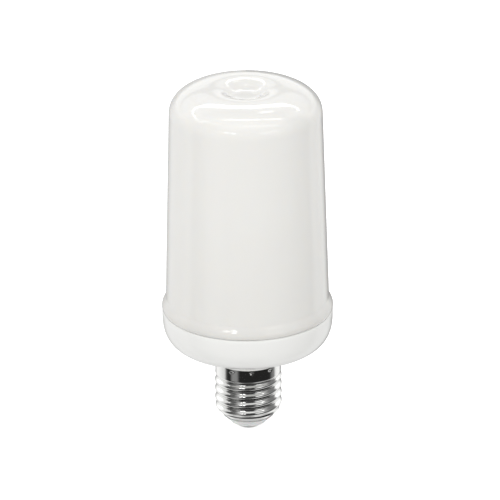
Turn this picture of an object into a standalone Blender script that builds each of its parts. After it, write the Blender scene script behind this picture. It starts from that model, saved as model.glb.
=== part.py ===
"""Flame effect lamp: a frosted, dimple-topped cover on a white cup with an Edison screw cap.

The origin is the middle of the centre contact's flat face and +Z runs up the lamp's axis
to the crown. Lengths are in metres, angles in degrees. The front of the lamp faces -Y.
"""

import math

import bmesh
import bpy
from mathutils import Matrix, Vector

# Clearance between two pieces that seat on each other, and the step count of round pieces
GAP = 0.0003
ROUND_STEPS = 30
SMALL_STEPS = 16
SHARP_ANGLE = 35.0

# Screw cap: the standard 27 mm Edison screw, seven turns to the inch
THREAD_CREST_RADIUS = 0.01305
THREAD_ROOT_RADIUS = 0.01210
THREAD_PITCH = 0.003629
THREAD_BOTTOM = 0.0074
THREAD_RUNOUT = 0.0018
THREAD_RINGS_PER_PITCH = 5
THREAD_LEFT_CREST = 0.0194
COLLAR_RADIUS = 0.0128
COLLAR_LENGTH = 0.0046
CAP_HEIGHT = 0.0280
SHELL_WALL = 0.0003
SHELL_FOOT_RADIUS = 0.0101
SHELL_FOOT_HEIGHT = 0.0054
PUNCH_COUNT = 10
PUNCH_DEPTH = 0.0004
PUNCH_BELOW_EDGE = 0.0012
PUNCH_ANGLE = 276.0

# Centre contact and its insulating washer
CONTACT_FACE_RADIUS = 0.0039
CONTACT_RADIUS = 0.0049
CONTACT_EDGE_HEIGHT = 0.0010
CONTACT_STEM_RADIUS = 0.0020
CONTACT_STEM_HEIGHT = 0.0090
CONTACT_BORE_RADIUS = 0.0010
CONTACT_BORE_DEPTH = 0.0040
WASHER_HEIGHT = 0.0070
WASHER_RIM_RADIUS = 0.0070
WASHER_RIM_HEIGHT = 0.0022

# Cup: the lower housing, with the neck that the screw cap is punched on to
CUP_RADIUS = 0.03315
CUP_HEIGHT = 0.0158
CUP_ROUNDNESS = 3.0
CUP_WALL = 0.0017
CUP_FLOOR = 0.0020
NECK_RADIUS = 0.0132
NECK_LENGTH = 0.0052
NECK_BORE_RADIUS = 0.0094
NECK_TIP_HEIGHT = 0.0115
NECK_FILLET = 0.0012
SNAP_DEPTH = 0.0005
SNAP_BELOW_SEAM = 0.0026
SNAP_HALF_HEIGHT = 0.0008

# Cover: frosted, tapered, flared at its rim and dimpled in its crown
COVER_WALL = 0.0016
COVER_TAPER = 0.0020
DOME_TOP = 0.14153
DOME_FLAT_RADIUS = 0.01045
SHOULDER_DROP = 0.01103
SHOULDER_ROUNDNESS = 2.456
DISH_RADIUS = 0.00865
DISH_SHARPNESS = 10.8
DISH_DEPTH = 0.00295
FLARE_WIDTH = 0.00165
FLARE_HEIGHT = 0.0050
RIM_HEIGHT = 0.0036
RIM_OVERHANG = 0.0002
SKIRT_LENGTH = 0.0042

# LED core: the moulded post inside the cover, screwed to bosses in the cup
CORE_RADIUS = 0.0190
CORE_WALL = 0.0016
CORE_TOP = 0.1240
CORE_VENT_RADIUS = 0.0030
FLANGE_CLEARANCE = 0.0015
FLANGE_THICKNESS = 0.0016
BOSS_TOP = 0.0423
BOSS_RADIUS = 0.0032
BOSS_HOLE_DEPTH = 0.0060
BOSS_ANGLES = (30.0, 150.0, 270.0)
SCREW_SHANK_RADIUS = 0.0014
SCREW_LENGTH = 0.0070
SCREW_HEAD_RADIUS = 0.0027
SCREW_HEAD_HEIGHT = 0.0018

# Flexible LED board, wrapped round the core with its seam at the back
FLEX_CLEARANCE = 0.0005
FLEX_THICKNESS = 0.0003
FLEX_BOTTOM = 0.0490
FLEX_TOP = 0.1230
FLEX_SEAM_ANGLE = 4.4
LED_COLUMNS = 12
FACETS_PER_COLUMN = 3
LED_ROWS = 8
LED_LOWEST_ROW = 0.0655
LED_ROW_PITCH = 0.0075
LED_WIDTH = 0.0028
LED_LENGTH = 0.0035
LED_PROUD = 0.0008
TAB_WIDTH = 0.0080
TAB_DISC_RADIUS = 0.0110
TAB_LED_RADIUS = 0.0065
TAB_LED_COUNT = 3

# Chips on the flexible board's lower margin
CHIP_HEIGHT_ON_BOARD = 0.0558
CONTROLLER_LENGTH = 0.0099
CONTROLLER_WIDTH = 0.0039
CONTROLLER_THICKNESS = 0.0015
CONTROLLER_LEGS = 8
TRANSISTOR_COUNT = 8
TRANSISTOR_LENGTH = 0.0029
TRANSISTOR_WIDTH = 0.0015
TRANSISTOR_THICKNESS = 0.0010
TRANSISTOR_FIRST_ANGLE = 215.0
TRANSISTOR_LAST_ANGLE = 355.0

# Driver board, standing on the cup's floor between two rails of the core
BOARD_SIDE_ROOM = 0.0029
BOARD_LENGTH = 0.0480
BOARD_THICKNESS = 0.0016
RAIL_WALL = 0.0012
RAIL_GRIP = 0.0014
CAN_RADIUS = 0.0040
CAN_ROOM = 0.0010
CAN_CRIMP = 0.0004
INDUCTOR_FLANGE_RADIUS = 0.0045
INDUCTOR_CORE_RADIUS = 0.0020
INDUCTOR_LENGTH = 0.0090
INDUCTOR_FLANGE = 0.0012
WINDING_RADIUS = 0.0040
RESISTOR_RADIUS = 0.0016
RESISTOR_LEAD_RADIUS = 0.0003
RESISTOR_LEAD_SPREAD = 0.0016

# Where the driver's parts sit: across the board from its middle and up from its lower edge,
# as shares of its width and its length
INPUT_CAN_PLACE = (-0.21, 0.55)
OUTPUT_CAN_PLACE = (0.20, 0.83)
INDUCTOR_PLACE = (0.20, 0.53)
RESISTOR_PLACE = (-0.21, 0.31)
BRIDGE_PLACE = (0.21, 0.31)
BUCK_PLACE = (-0.17, 0.71)
DIODE_PLACE = (0.19, 0.71)
RESISTOR_SHARE = 0.30
BRIDGE_SIZE = (0.0047, 0.0039, 0.0025)
BUCK_SIZE = (0.0049, 0.0039, 0.0015)
DIODE_SIZE = (0.0043, 0.0026, 0.0021)
LEG_SIZE = 0.0004

# Leads
MAINS_LEAD_RADIUS = 0.0007
MAINS_LEAD_SPREAD = 0.0050
LED_LEAD_RADIUS = 0.0006
LED_LEAD_ANGLE = 10.0
LED_LEAD_RISE = 0.0120
LED_LEAD_END = 0.0040
MAINS_LEAD_RISE = 0.0050
LEAD_HOLE_CLEARANCE = 0.0005
LEAD_SMOOTHING = 3

# Heights and radii that follow from the sizes above
COLLAR_BOTTOM = CAP_HEIGHT - COLLAR_LENGTH
NECK_SHOULDER = CAP_HEIGHT + GAP
CUP_BOTTOM = NECK_SHOULDER + NECK_LENGTH
SEAM_HEIGHT = CUP_BOTTOM + CUP_HEIGHT
CUP_FLOOR_HEIGHT = CUP_BOTTOM + CUP_FLOOR
CUP_INNER_RADIUS = CUP_RADIUS - CUP_WALL
COVER_BOTTOM = SEAM_HEIGHT + GAP
RIM_RADIUS = CUP_RADIUS + RIM_OVERHANG
SKIRT_RADIUS = CUP_INNER_RADIUS - GAP
COVER_FOOT_RADIUS = RIM_RADIUS - FLARE_WIDTH
COVER_SHOULDER_RADIUS = COVER_FOOT_RADIUS - COVER_TAPER
SHOULDER_HEIGHT = DOME_TOP - SHOULDER_DROP
FLANGE_RADIUS = CUP_INNER_RADIUS - FLANGE_CLEARANCE
BOSS_CIRCLE_RADIUS = (CORE_RADIUS + FLANGE_RADIUS) / 2
FLANGE_BOTTOM = BOSS_TOP + GAP
FLANGE_TOP = FLANGE_BOTTOM + FLANGE_THICKNESS
FLEX_INNER_RADIUS = CORE_RADIUS + FLEX_CLEARANCE
FLEX_OUTER_RADIUS = FLEX_INNER_RADIUS + FLEX_THICKNESS
CORE_INNER_RADIUS = CORE_RADIUS - CORE_WALL
BOARD_WIDTH = (CORE_INNER_RADIUS - BOARD_SIDE_ROOM) * 2
BOARD_BOTTOM = CUP_FLOOR_HEIGHT + GAP
BOARD_FACE = BOARD_THICKNESS / 2
CAN_REACH = BOARD_WIDTH * abs(INPUT_CAN_PLACE[0]) + CAN_RADIUS
CAN_LENGTH = math.sqrt(CORE_INNER_RADIUS**2 - CAN_REACH**2) - BOARD_FACE - CAN_ROOM
RESISTOR_LENGTH = BOARD_WIDTH * RESISTOR_SHARE


def collection(name):
    made = bpy.data.collections.new(name)
    bpy.context.scene.collection.children.link(made)
    return made


def clear_scene():
    for item in list(bpy.data.objects):
        bpy.data.objects.remove(item, do_unlink=True)


clear_scene()
LAMP = collection("flame_effect_lamp")
CUTTERS = collection("cutters")


# Materials

def material(name, colour, roughness, metallic=0.0):
    made = bpy.data.materials.new(name)
    made.use_nodes = True
    made.diffuse_color = (*colour, 1.0)
    shader = made.node_tree.nodes["Principled BSDF"]
    shader.inputs["Base Color"].default_value = (*colour, 1.0)
    shader.inputs["Roughness"].default_value = roughness
    shader.inputs["Metallic"].default_value = metallic
    return made


FROSTED = material("frosted_cover", (0.84, 0.83, 0.80), 0.12)
WHITE_PLASTIC = material("white_housing", (0.88, 0.88, 0.86), 0.22)
NICKEL = material("nickel_plate", (0.78, 0.78, 0.76), 0.15, 1.0)
PALE_INSULATOR = material("pale_insulator", (0.80, 0.82, 0.81), 0.45)
CORE_PLASTIC = material("core_plastic", (0.82, 0.82, 0.80), 0.50)
BOARD_WHITE = material("board_white", (0.90, 0.90, 0.87), 0.40)
BOARD_GREEN = material("board_green", (0.05, 0.26, 0.12), 0.35)
CHIP_BLACK = material("chip_black", (0.03, 0.03, 0.03), 0.45)
CAN_SLEEVE = material("can_sleeve", (0.06, 0.07, 0.10), 0.35)
FERRITE = material("ferrite", (0.09, 0.09, 0.10), 0.60)
COPPER = material("copper_wire", (0.72, 0.33, 0.14), 0.30, 1.0)
RESISTOR_COAT = material("resistor_coat", (0.32, 0.45, 0.38), 0.55)
LEAD_RED = material("lead_red", (0.60, 0.05, 0.04), 0.45)
LEAD_BLACK = material("lead_black", (0.04, 0.04, 0.04), 0.45)
SCREW_STEEL = material("screw_steel", (0.62, 0.62, 0.60), 0.30, 1.0)


# Modelling helpers

def add_object(name, data, home=LAMP):
    made = bpy.data.objects.new(name, data)
    home.objects.link(made)
    return made


def finish(item, surface):
    """Gives a piece its material and smooth shading with crisp edges."""
    item.data.materials.clear()
    item.data.materials.append(surface)
    item.data.shade_smooth()
    item.data.set_sharp_from_angle(angle=math.radians(SHARP_ANGLE))
    return item


def mesh_of(item):
    """The evaluated mesh of an object, which is then removed."""
    bpy.context.view_layer.update()
    depsgraph = bpy.context.evaluated_depsgraph_get()
    mesh = bpy.data.meshes.new_from_object(item.evaluated_get(depsgraph))
    mesh.transform(item.matrix_world)
    bpy.data.objects.remove(item, do_unlink=True)
    return mesh


def freeze(item):
    """Replaces an object by one of the same name whose mesh has its modifiers applied."""
    name = item.name
    home = item.users_collection[0]
    mesh = mesh_of(item)
    return add_object(name, mesh, home)


def turned(name, outline, steps=ROUND_STEPS, closed=True, home=LAMP):
    """A piece turned about Z. The outline is (radius, height) points that run down its
    outer side; a closed outline goes on up the inner side, an open one ends on the axis."""
    mesh = bpy.data.meshes.new(name)
    points = [(radius, 0.0, height) for radius, height in outline]
    edges = [(i, i + 1) for i in range(len(points) - 1)]
    if closed:
        edges.append((len(points) - 1, 0))
    mesh.from_pydata(points, edges, [])
    item = add_object(name, mesh, home)
    screw = item.modifiers.new("turn", "SCREW")
    screw.axis = "Z"
    screw.steps = steps
    screw.render_steps = steps
    screw.use_merge_vertices = True
    screw.merge_threshold = 0.00001
    return item


def box(name, size, centre, home=LAMP, turn=0.0, bevel=0.0):
    """A box turned about Z by an angle, with its edges rounded off if a bevel is given."""
    mesh = bpy.data.meshes.new(name)
    bm = bmesh.new()
    bmesh.ops.create_cube(bm, size=1.0)
    bmesh.ops.scale(bm, vec=Vector(size), verts=bm.verts)
    bm.to_mesh(mesh)
    bm.free()
    item = add_object(name, mesh, home)
    item.location = centre
    item.rotation_euler = (0.0, 0.0, math.radians(turn))
    if bevel:
        edge = item.modifiers.new("edge", "BEVEL")
        edge.width = bevel
        edge.segments = 1
    return item


def rod(name, radius, start, end, steps=SMALL_STEPS, home=CUTTERS):
    """A straight round rod between two points."""
    mesh = bpy.data.meshes.new(name)
    axis = Vector(end) - Vector(start)
    bm = bmesh.new()
    bmesh.ops.create_cone(
        bm, cap_ends=True, segments=steps, radius1=radius, radius2=radius, depth=axis.length
    )
    bm.to_mesh(mesh)
    bm.free()
    item = add_object(name, mesh, home)
    item.location = (Vector(start) + Vector(end)) / 2
    item.rotation_euler = axis.to_track_quat("Z", "Y").to_euler()
    return item


def combine(item, other, operation):
    """Cuts or joins a piece with a helper object that is left out of the lamp."""
    change = item.modifiers.new(other.name, "BOOLEAN")
    change.operation = operation
    change.object = other
    change.solver = "EXACT"
    if other.name not in CUTTERS.objects:
        for home in list(other.users_collection):
            home.objects.unlink(other)
        CUTTERS.objects.link(other)
    other.hide_render = True
    other.display_type = "WIRE"
    return item


def merge_meshes(name, items, home=CUTTERS):
    """One object that holds the meshes of several helper objects, kept as separate shells."""
    bm = bmesh.new()
    for item in items:
        mesh = mesh_of(item)
        bm.from_mesh(mesh)
        bpy.data.meshes.remove(mesh)
    joined = bpy.data.meshes.new(name)
    bm.to_mesh(joined)
    bm.free()
    return add_object(name, joined, home)


def smooth_step(share):
    share = min(1.0, max(0.0, share))
    return share * share * (3.0 - 2.0 * share)


def round_corner(start, end, roundness, count, bulge_at_start):
    """Points of a quarter superellipse from start to end, both (radius, height), without
    the start point. It leaves along the height if bulge_at_start, and else along the radius."""
    made = []
    for i in range(1, count + 1):
        angle = math.pi / 2 * i / count
        slow = 1.0 - math.cos(angle) ** (2.0 / roundness)
        fast = math.sin(angle) ** (2.0 / roundness)
        if not bulge_at_start:
            slow, fast = fast, slow
        radius = start[0] + (end[0] - start[0]) * slow
        height = start[1] + (end[1] - start[1]) * fast
        made.append((radius, height))
    return made


def around(radius, angle, height=0.0):
    """A point on a circle about the lamp's axis."""
    turn = math.radians(angle)
    return Vector((radius * math.cos(turn), radius * math.sin(turn), height))


# Screw cap

def shell_plain_radius(height):
    """The radius of the shell without its thread: a cone, the root cylinder, the collar."""
    if height < THREAD_BOTTOM:
        share = (height - SHELL_FOOT_HEIGHT) / (THREAD_BOTTOM - SHELL_FOOT_HEIGHT)
        return SHELL_FOOT_RADIUS + (THREAD_ROOT_RADIUS - SHELL_FOOT_RADIUS) * share
    if height > COLLAR_BOTTOM - THREAD_RUNOUT:
        return COLLAR_RADIUS
    return THREAD_ROOT_RADIUS


def shell_radius(height, angle):
    """The outside radius of the rolled shell, thread and punch marks included."""
    turns = (height - THREAD_LEFT_CREST) / THREAD_PITCH - (angle - 180.0) / 360.0
    wave = 0.5 + 0.5 * math.cos(2.0 * math.pi * turns)
    threaded = THREAD_ROOT_RADIUS + (THREAD_CREST_RADIUS - THREAD_ROOT_RADIUS) * wave
    share = smooth_step((height - THREAD_BOTTOM) / THREAD_RUNOUT)
    share *= smooth_step((COLLAR_BOTTOM - height) / THREAD_RUNOUT)
    return shell_plain_radius(height) * (1.0 - share) + threaded * share


def shell_heights():
    """Ring heights of the shell from its top edge down to its foot."""
    punch = CAP_HEIGHT - PUNCH_BELOW_EDGE
    heights = [CAP_HEIGHT, punch + PUNCH_DEPTH * 2, punch, punch - PUNCH_DEPTH * 2]
    step = THREAD_PITCH / THREAD_RINGS_PER_PITCH
    count = round((COLLAR_BOTTOM - THREAD_BOTTOM) / step)
    for i in range(count + 1):
        heights.append(COLLAR_BOTTOM + (THREAD_BOTTOM - COLLAR_BOTTOM) * i / count)
    heights.append(SHELL_FOOT_HEIGHT)
    return heights


def make_screw_shell():
    """The cap's rolled metal shell: a turned sleeve whose rings follow the helix, with
    punch marks that pin it to the neck."""
    outline = [(shell_plain_radius(height), height) for height in shell_heights()]
    sleeve = freeze(turned("screw_shell", outline, closed=False))
    punch_height = CAP_HEIGHT - PUNCH_BELOW_EDGE
    punch_step = 360.0 / PUNCH_COUNT
    ring_step = 360.0 / ROUND_STEPS
    for vertex in sleeve.data.vertices:
        height = vertex.co.z
        angle = math.degrees(math.atan2(vertex.co.y, vertex.co.x)) % 360.0
        radius = shell_radius(height, angle)
        off_punch = (angle - PUNCH_ANGLE + punch_step / 2) % punch_step - punch_step / 2
        if abs(height - punch_height) < PUNCH_DEPTH and abs(off_punch) < ring_step / 2:
            radius -= PUNCH_DEPTH
        vertex.co = around(radius, angle, height)
    wall = sleeve.modifiers.new("wall", "SOLIDIFY")
    wall.thickness = SHELL_WALL
    wall.offset = -1.0
    return finish(sleeve, NICKEL)


def cone_inner_radius(height):
    """The radius inside the shell's cone, measured straight across."""
    slope = (THREAD_ROOT_RADIUS - SHELL_FOOT_RADIUS) / (THREAD_BOTTOM - SHELL_FOOT_HEIGHT)
    across = SHELL_WALL * math.sqrt(1.0 + slope * slope)
    return SHELL_FOOT_RADIUS + slope * (height - SHELL_FOOT_HEIGHT) - across


def make_cap_insulator():
    """The washer in the shell's foot, which keeps the centre contact off the shell."""
    face = CONTACT_EDGE_HEIGHT + GAP
    below_shell = SHELL_FOOT_HEIGHT - GAP
    seat = cone_inner_radius(SHELL_FOOT_HEIGHT) - GAP
    hole = CONTACT_STEM_RADIUS + GAP
    outline = [
        (cone_inner_radius(WASHER_HEIGHT) - GAP, WASHER_HEIGHT),
        (seat, SHELL_FOOT_HEIGHT),
        (seat, below_shell),
        (SHELL_FOOT_RADIUS, below_shell),
        (WASHER_RIM_RADIUS, WASHER_RIM_HEIGHT),
        (CONTACT_RADIUS, face),
        (hole, face),
        (hole, WASHER_HEIGHT),
    ]
    return finish(turned("cap_insulator", outline), PALE_INSULATOR)


def make_centre_contact():
    """The contact button with a hollow stem that grips the live lead."""
    bore_floor = CONTACT_STEM_HEIGHT - CONTACT_BORE_DEPTH
    outline = [
        (CONTACT_BORE_RADIUS, CONTACT_STEM_HEIGHT),
        (CONTACT_STEM_RADIUS, CONTACT_STEM_HEIGHT),
        (CONTACT_STEM_RADIUS, CONTACT_EDGE_HEIGHT),
        (CONTACT_RADIUS, CONTACT_EDGE_HEIGHT),
        *round_corner((CONTACT_RADIUS, CONTACT_EDGE_HEIGHT), (CONTACT_FACE_RADIUS, 0.0), 2.0, 3, True),
        (0.0, 0.0),
    ]
    outline = [(0.0, bore_floor), (CONTACT_BORE_RADIUS, bore_floor), *outline]
    return finish(turned("centre_contact", outline, SMALL_STEPS, closed=False), NICKEL)


# Cup

def cup_outer_outline():
    """Down the outside of the cup from the seam, in to the neck and down to its tip."""
    seam = (CUP_RADIUS, SEAM_HEIGHT)
    fillet_top = (NECK_RADIUS + NECK_FILLET, CUP_BOTTOM)
    fillet_foot = (NECK_RADIUS, CUP_BOTTOM - NECK_FILLET)
    collar_seat = COLLAR_RADIUS - SHELL_WALL - GAP
    thread_seat = THREAD_ROOT_RADIUS - SHELL_WALL - GAP
    groove_seat = collar_seat - PUNCH_DEPTH
    groove = CAP_HEIGHT - PUNCH_BELOW_EDGE
    step_height = COLLAR_BOTTOM - GAP
    outline = [seam]
    outline += round_corner(seam, fillet_top, CUP_ROUNDNESS, 10, True)
    outline += round_corner(fillet_top, fillet_foot, 2.0, 2, False)
    outline += [
        (NECK_RADIUS, NECK_SHOULDER),
        (collar_seat, NECK_SHOULDER),
        (groove_seat, groove + PUNCH_DEPTH * 2),
        (groove_seat, groove - PUNCH_DEPTH * 2),
        (collar_seat, groove - PUNCH_DEPTH * 3),
        (collar_seat, step_height + GAP * 2),
        (thread_seat, step_height - THREAD_RUNOUT),
        (thread_seat, NECK_TIP_HEIGHT),
    ]
    return outline


def cup_cavity_outline():
    """The hollow of the cup and the bore of its neck, down its outer side."""
    above = SEAM_HEIGHT + CUP_WALL
    snap = SEAM_HEIGHT - SNAP_BELOW_SEAM
    inside = (CUP_INNER_RADIUS, snap - SNAP_HALF_HEIGHT * 2)
    floor = (NECK_RADIUS, CUP_FLOOR_HEIGHT)
    outline = [
        (0.0, above),
        (CUP_INNER_RADIUS, above),
        (CUP_INNER_RADIUS, snap + SNAP_HALF_HEIGHT * 2),
        (CUP_INNER_RADIUS + SNAP_DEPTH, snap + SNAP_HALF_HEIGHT),
        (CUP_INNER_RADIUS + SNAP_DEPTH, snap - SNAP_HALF_HEIGHT),
        inside,
    ]
    outline += round_corner(inside, floor, CUP_ROUNDNESS, 6, True)
    outline += [
        (NECK_BORE_RADIUS, CUP_FLOOR_HEIGHT),
        (NECK_BORE_RADIUS, NECK_TIP_HEIGHT - CUP_WALL),
        (0.0, NECK_TIP_HEIGHT - CUP_WALL),
    ]
    return outline


def make_base_cup():
    """The lower housing. Its bosses are what the cavity's cutter leaves standing."""
    outline = [(0.0, SEAM_HEIGHT), *cup_outer_outline(), (0.0, NECK_TIP_HEIGHT)]
    cup = turned("base_cup", outline, closed=False)
    cavity = turned("cup_cavity", cup_cavity_outline(), closed=False, home=CUTTERS)
    bosses = []
    for turn in BOSS_ANGLES:
        low = around(BOSS_CIRCLE_RADIUS, turn, CUP_BOTTOM - CUP_FLOOR)
        bosses.append(rod("boss", BOSS_RADIUS, low, around(BOSS_CIRCLE_RADIUS, turn, BOSS_TOP)))
    combine(cavity, merge_meshes("boss_posts", bosses), "DIFFERENCE")
    combine(cup, cavity, "DIFFERENCE")
    holes = []
    for turn in BOSS_ANGLES:
        low = around(BOSS_CIRCLE_RADIUS, turn, BOSS_TOP - BOSS_HOLE_DEPTH)
        high = around(BOSS_CIRCLE_RADIUS, turn, BOSS_TOP + CUP_WALL)
        holes.append(rod("hole", SCREW_SHANK_RADIUS + GAP, low, high, 12))
    combine(cup, merge_meshes("boss_holes", holes), "DIFFERENCE")
    return finish(freeze(cup), WHITE_PLASTIC)


# Cover

# Radii of the crown's rings as shares of the dish's radius, from the middle to the crest
DISH_RINGS = (0.0, 0.6, 0.8, 0.92, 1.04, 1.19, 1.5)


def crown_height(radius):
    """The height of the crown: a dome with a level middle, and a dish sunk in it."""
    reach = (radius - DOME_FLAT_RADIUS) / (COVER_SHOULDER_RADIUS - DOME_FLAT_RADIUS)
    reach = min(1.0, max(0.0, reach))
    level = (1.0 - reach ** SHOULDER_ROUNDNESS) ** (1.0 / SHOULDER_ROUNDNESS)
    dish = DISH_DEPTH / (1.0 + (radius / DISH_RADIUS) ** DISH_SHARPNESS)
    return DOME_TOP - SHOULDER_DROP * (1.0 - level) - dish


def make_diffuser():
    """The frosted cover: crown with its dimple, tapered wall, flared rim and snap skirt."""
    flat_edge = (DOME_FLAT_RADIUS, DOME_TOP)
    shoulder = (COVER_SHOULDER_RADIUS, SHOULDER_HEIGHT)
    rim_top = COVER_BOTTOM + RIM_HEIGHT
    flare_top = rim_top + FLARE_HEIGHT
    skirt_bottom = COVER_BOTTOM - SKIRT_LENGTH
    snap = SEAM_HEIGHT - SNAP_BELOW_SEAM
    dish_radii = [DISH_RADIUS * share for share in DISH_RINGS]
    corner = round_corner(flat_edge, shoulder, SHOULDER_ROUNDNESS, 7, False)
    crown_radii = dish_radii + [point[0] for point in corner]
    outline = [(radius, crown_height(radius)) for radius in crown_radii]
    outline.append((COVER_FOOT_RADIUS, flare_top))
    for i in range(1, 5):
        share = i / 4
        swell = smooth_step(share)
        radius = COVER_FOOT_RADIUS + (RIM_RADIUS - COVER_FOOT_RADIUS) * swell
        outline.append((radius, flare_top - FLARE_HEIGHT * share))
    outline += [
        (RIM_RADIUS, COVER_BOTTOM),
        (SKIRT_RADIUS, COVER_BOTTOM),
        (SKIRT_RADIUS, snap + SNAP_HALF_HEIGHT * 1.5),
        (SKIRT_RADIUS + SNAP_DEPTH, snap),
        (SKIRT_RADIUS, snap - SNAP_HALF_HEIGHT * 1.5),
        (SKIRT_RADIUS, skirt_bottom),
    ]
    inner_edge = (DOME_FLAT_RADIUS, DOME_TOP - COVER_WALL)
    inner_shoulder = (COVER_SHOULDER_RADIUS - COVER_WALL, SHOULDER_HEIGHT)
    inside = [(radius, crown_height(radius) - COVER_WALL) for radius in dish_radii[::2]]
    inside += round_corner(inner_edge, inner_shoulder, SHOULDER_ROUNDNESS, 4, False)
    inside.append((COVER_FOOT_RADIUS - COVER_WALL, flare_top))
    inside.append((SKIRT_RADIUS - COVER_WALL, skirt_bottom))
    cover = turned("diffuser", outline + inside[::-1], closed=False)
    return finish(cover, FROSTED)


# LED core

def rail_block(side):
    """One rail on the core's inside wall, and the slot that the driver board slides in."""
    slot_floor = BOARD_WIDTH / 2 + GAP
    inner = BOARD_WIDTH / 2 - RAIL_GRIP
    outer = CORE_RADIUS - CORE_WALL / 2
    board_top = BOARD_BOTTOM + BOARD_LENGTH
    bottom = FLANGE_TOP
    top = board_top + GAP + RAIL_WALL
    slot_width = BOARD_THICKNESS + GAP * 2
    block = box(
        "rail",
        (outer - inner, slot_width + RAIL_WALL * 2, top - bottom),
        (side * (outer + inner) / 2, 0.0, (top + bottom) / 2),
        CUTTERS,
    )
    slot_bottom = bottom - RAIL_WALL
    slot_top = board_top + GAP
    slot = box(
        "slot",
        (slot_floor * 2, slot_width, slot_top - slot_bottom),
        (0.0, 0.0, (slot_top + slot_bottom) / 2),
        CUTTERS,
    )
    return block, slot


def make_led_core():
    """The moulded post: a flanged tube with a vented top, two rails and its holes."""
    inner = CORE_INNER_RADIUS
    outline = [
        (CORE_VENT_RADIUS, CORE_TOP),
        (CORE_RADIUS, CORE_TOP),
        (CORE_RADIUS, FLANGE_TOP),
        (FLANGE_RADIUS, FLANGE_TOP),
        (FLANGE_RADIUS, FLANGE_BOTTOM),
        (inner, FLANGE_BOTTOM),
        (inner, CORE_TOP - CORE_WALL),
        (CORE_VENT_RADIUS, CORE_TOP - CORE_WALL),
    ]
    core = turned("led_core", outline)
    left, slot = rail_block(-1)
    right, spare_slot = rail_block(1)
    bpy.data.objects.remove(spare_slot, do_unlink=True)
    combine(core, merge_meshes("rails", [left, right]), "UNION")
    combine(core, slot, "DIFFERENCE")
    holes = []
    for angle in BOSS_ANGLES:
        low = around(BOSS_CIRCLE_RADIUS, angle, FLANGE_BOTTOM - CORE_WALL)
        high = around(BOSS_CIRCLE_RADIUS, angle, FLANGE_TOP + CORE_WALL)
        holes.append(rod("hole", SCREW_SHANK_RADIUS + GAP, low, high, 12))
    for angle in (90.0 - LED_LEAD_ANGLE, 90.0 + LED_LEAD_ANGLE):
        inside = around(inner - CORE_WALL, angle, lead_hole_height())
        outside = around(CORE_RADIUS + CORE_WALL, angle, lead_hole_height())
        holes.append(rod("hole", LED_LEAD_RADIUS + LEAD_HOLE_CLEARANCE, inside, outside, 12))
    combine(core, merge_meshes("core_holes", holes), "DIFFERENCE")
    return finish(freeze(core), CORE_PLASTIC)


def lead_hole_height():
    """The LED leads leave the core half way between its flange and the flexible board."""
    return (FLANGE_TOP + FLEX_BOTTOM) / 2


def make_flange_screw(number, angle):
    """A pan-head self-tapping screw, its tip in the boss and its head on the flange."""
    seat = FLANGE_TOP + GAP
    head_top = seat + SCREW_HEAD_HEIGHT
    tip = seat - SCREW_LENGTH
    crown = (SCREW_HEAD_RADIUS * 0.6, head_top)
    outline = [
        (0.0, head_top),
        crown,
        *round_corner(crown, (SCREW_HEAD_RADIUS, seat), 2.2, 3, False),
        (SCREW_SHANK_RADIUS, seat),
        (SCREW_SHANK_RADIUS, tip + SCREW_SHANK_RADIUS),
        (0.0, tip),
    ]
    screw = turned(f"flange_screw_{number}", outline, 12, closed=False)
    slot_size = (SCREW_HEAD_RADIUS * 1.2, GAP * 2, SCREW_HEAD_HEIGHT)
    slots = [box("slot", slot_size, (0.0, 0.0, head_top), CUTTERS, turn) for turn in (0.0, 90.0)]
    for i, slot in enumerate(slots):
        slot.name = f"screw_{number}_slot_{i}"
        combine(screw, slot, "DIFFERENCE")
    screw = freeze(screw)
    screw.location = around(BOSS_CIRCLE_RADIUS, angle)
    return finish(screw, SCREW_STEEL)


# Flexible LED board

def flex_angle(share):
    """Where a share of the board's width lies, from one side of its seam to the other."""
    return 90.0 + FLEX_SEAM_ANGLE / 2 + (360.0 - FLEX_SEAM_ANGLE) * share


def led_pad(angle, height):
    """One LED package on the wrapped board, sunk into it so that the two join."""
    inner = FLEX_INNER_RADIUS + FLEX_THICKNESS / 3
    outer = FLEX_OUTER_RADIUS + LED_PROUD
    centre = around((inner + outer) / 2, angle, height)
    return box("led", (outer - inner, LED_WIDTH, LED_LENGTH), centre, CUTTERS, angle)


def crown_tab():
    """The tab that folds over the core's top, with its disc and its LEDs."""
    sheet_bottom = CORE_TOP + GAP
    sheet_top = sheet_bottom + FLEX_THICKNESS
    sink = FLEX_THICKNESS / 3
    riser_height = sheet_top - FLEX_TOP + TAB_WIDTH / 4
    middle = (FLEX_OUTER_RADIUS + FLEX_INNER_RADIUS) / 2
    riser = box(
        "riser",
        (TAB_WIDTH, FLEX_THICKNESS, riser_height),
        (0.0, -middle, sheet_top - riser_height / 2),
        CUTTERS,
    )
    strip = box(
        "strip",
        (TAB_WIDTH, FLEX_OUTER_RADIUS, FLEX_THICKNESS),
        (0.0, -FLEX_OUTER_RADIUS / 2, (sheet_top + sheet_bottom) / 2),
        CUTTERS,
    )
    disc = rod("disc", TAB_DISC_RADIUS, (0, 0, sheet_bottom), (0, 0, sheet_top), 24)
    pads = []
    for i in range(TAB_LED_COUNT):
        low = sheet_top - sink
        high = sheet_top + LED_PROUD
        angle = 90.0 + 360.0 * i / TAB_LED_COUNT
        centre = around(TAB_LED_RADIUS, angle, (low + high) / 2)
        pads.append(box("led", (LED_LENGTH, LED_WIDTH, high - low), centre, CUTTERS, angle))
    return riser, strip, disc, pads


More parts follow.
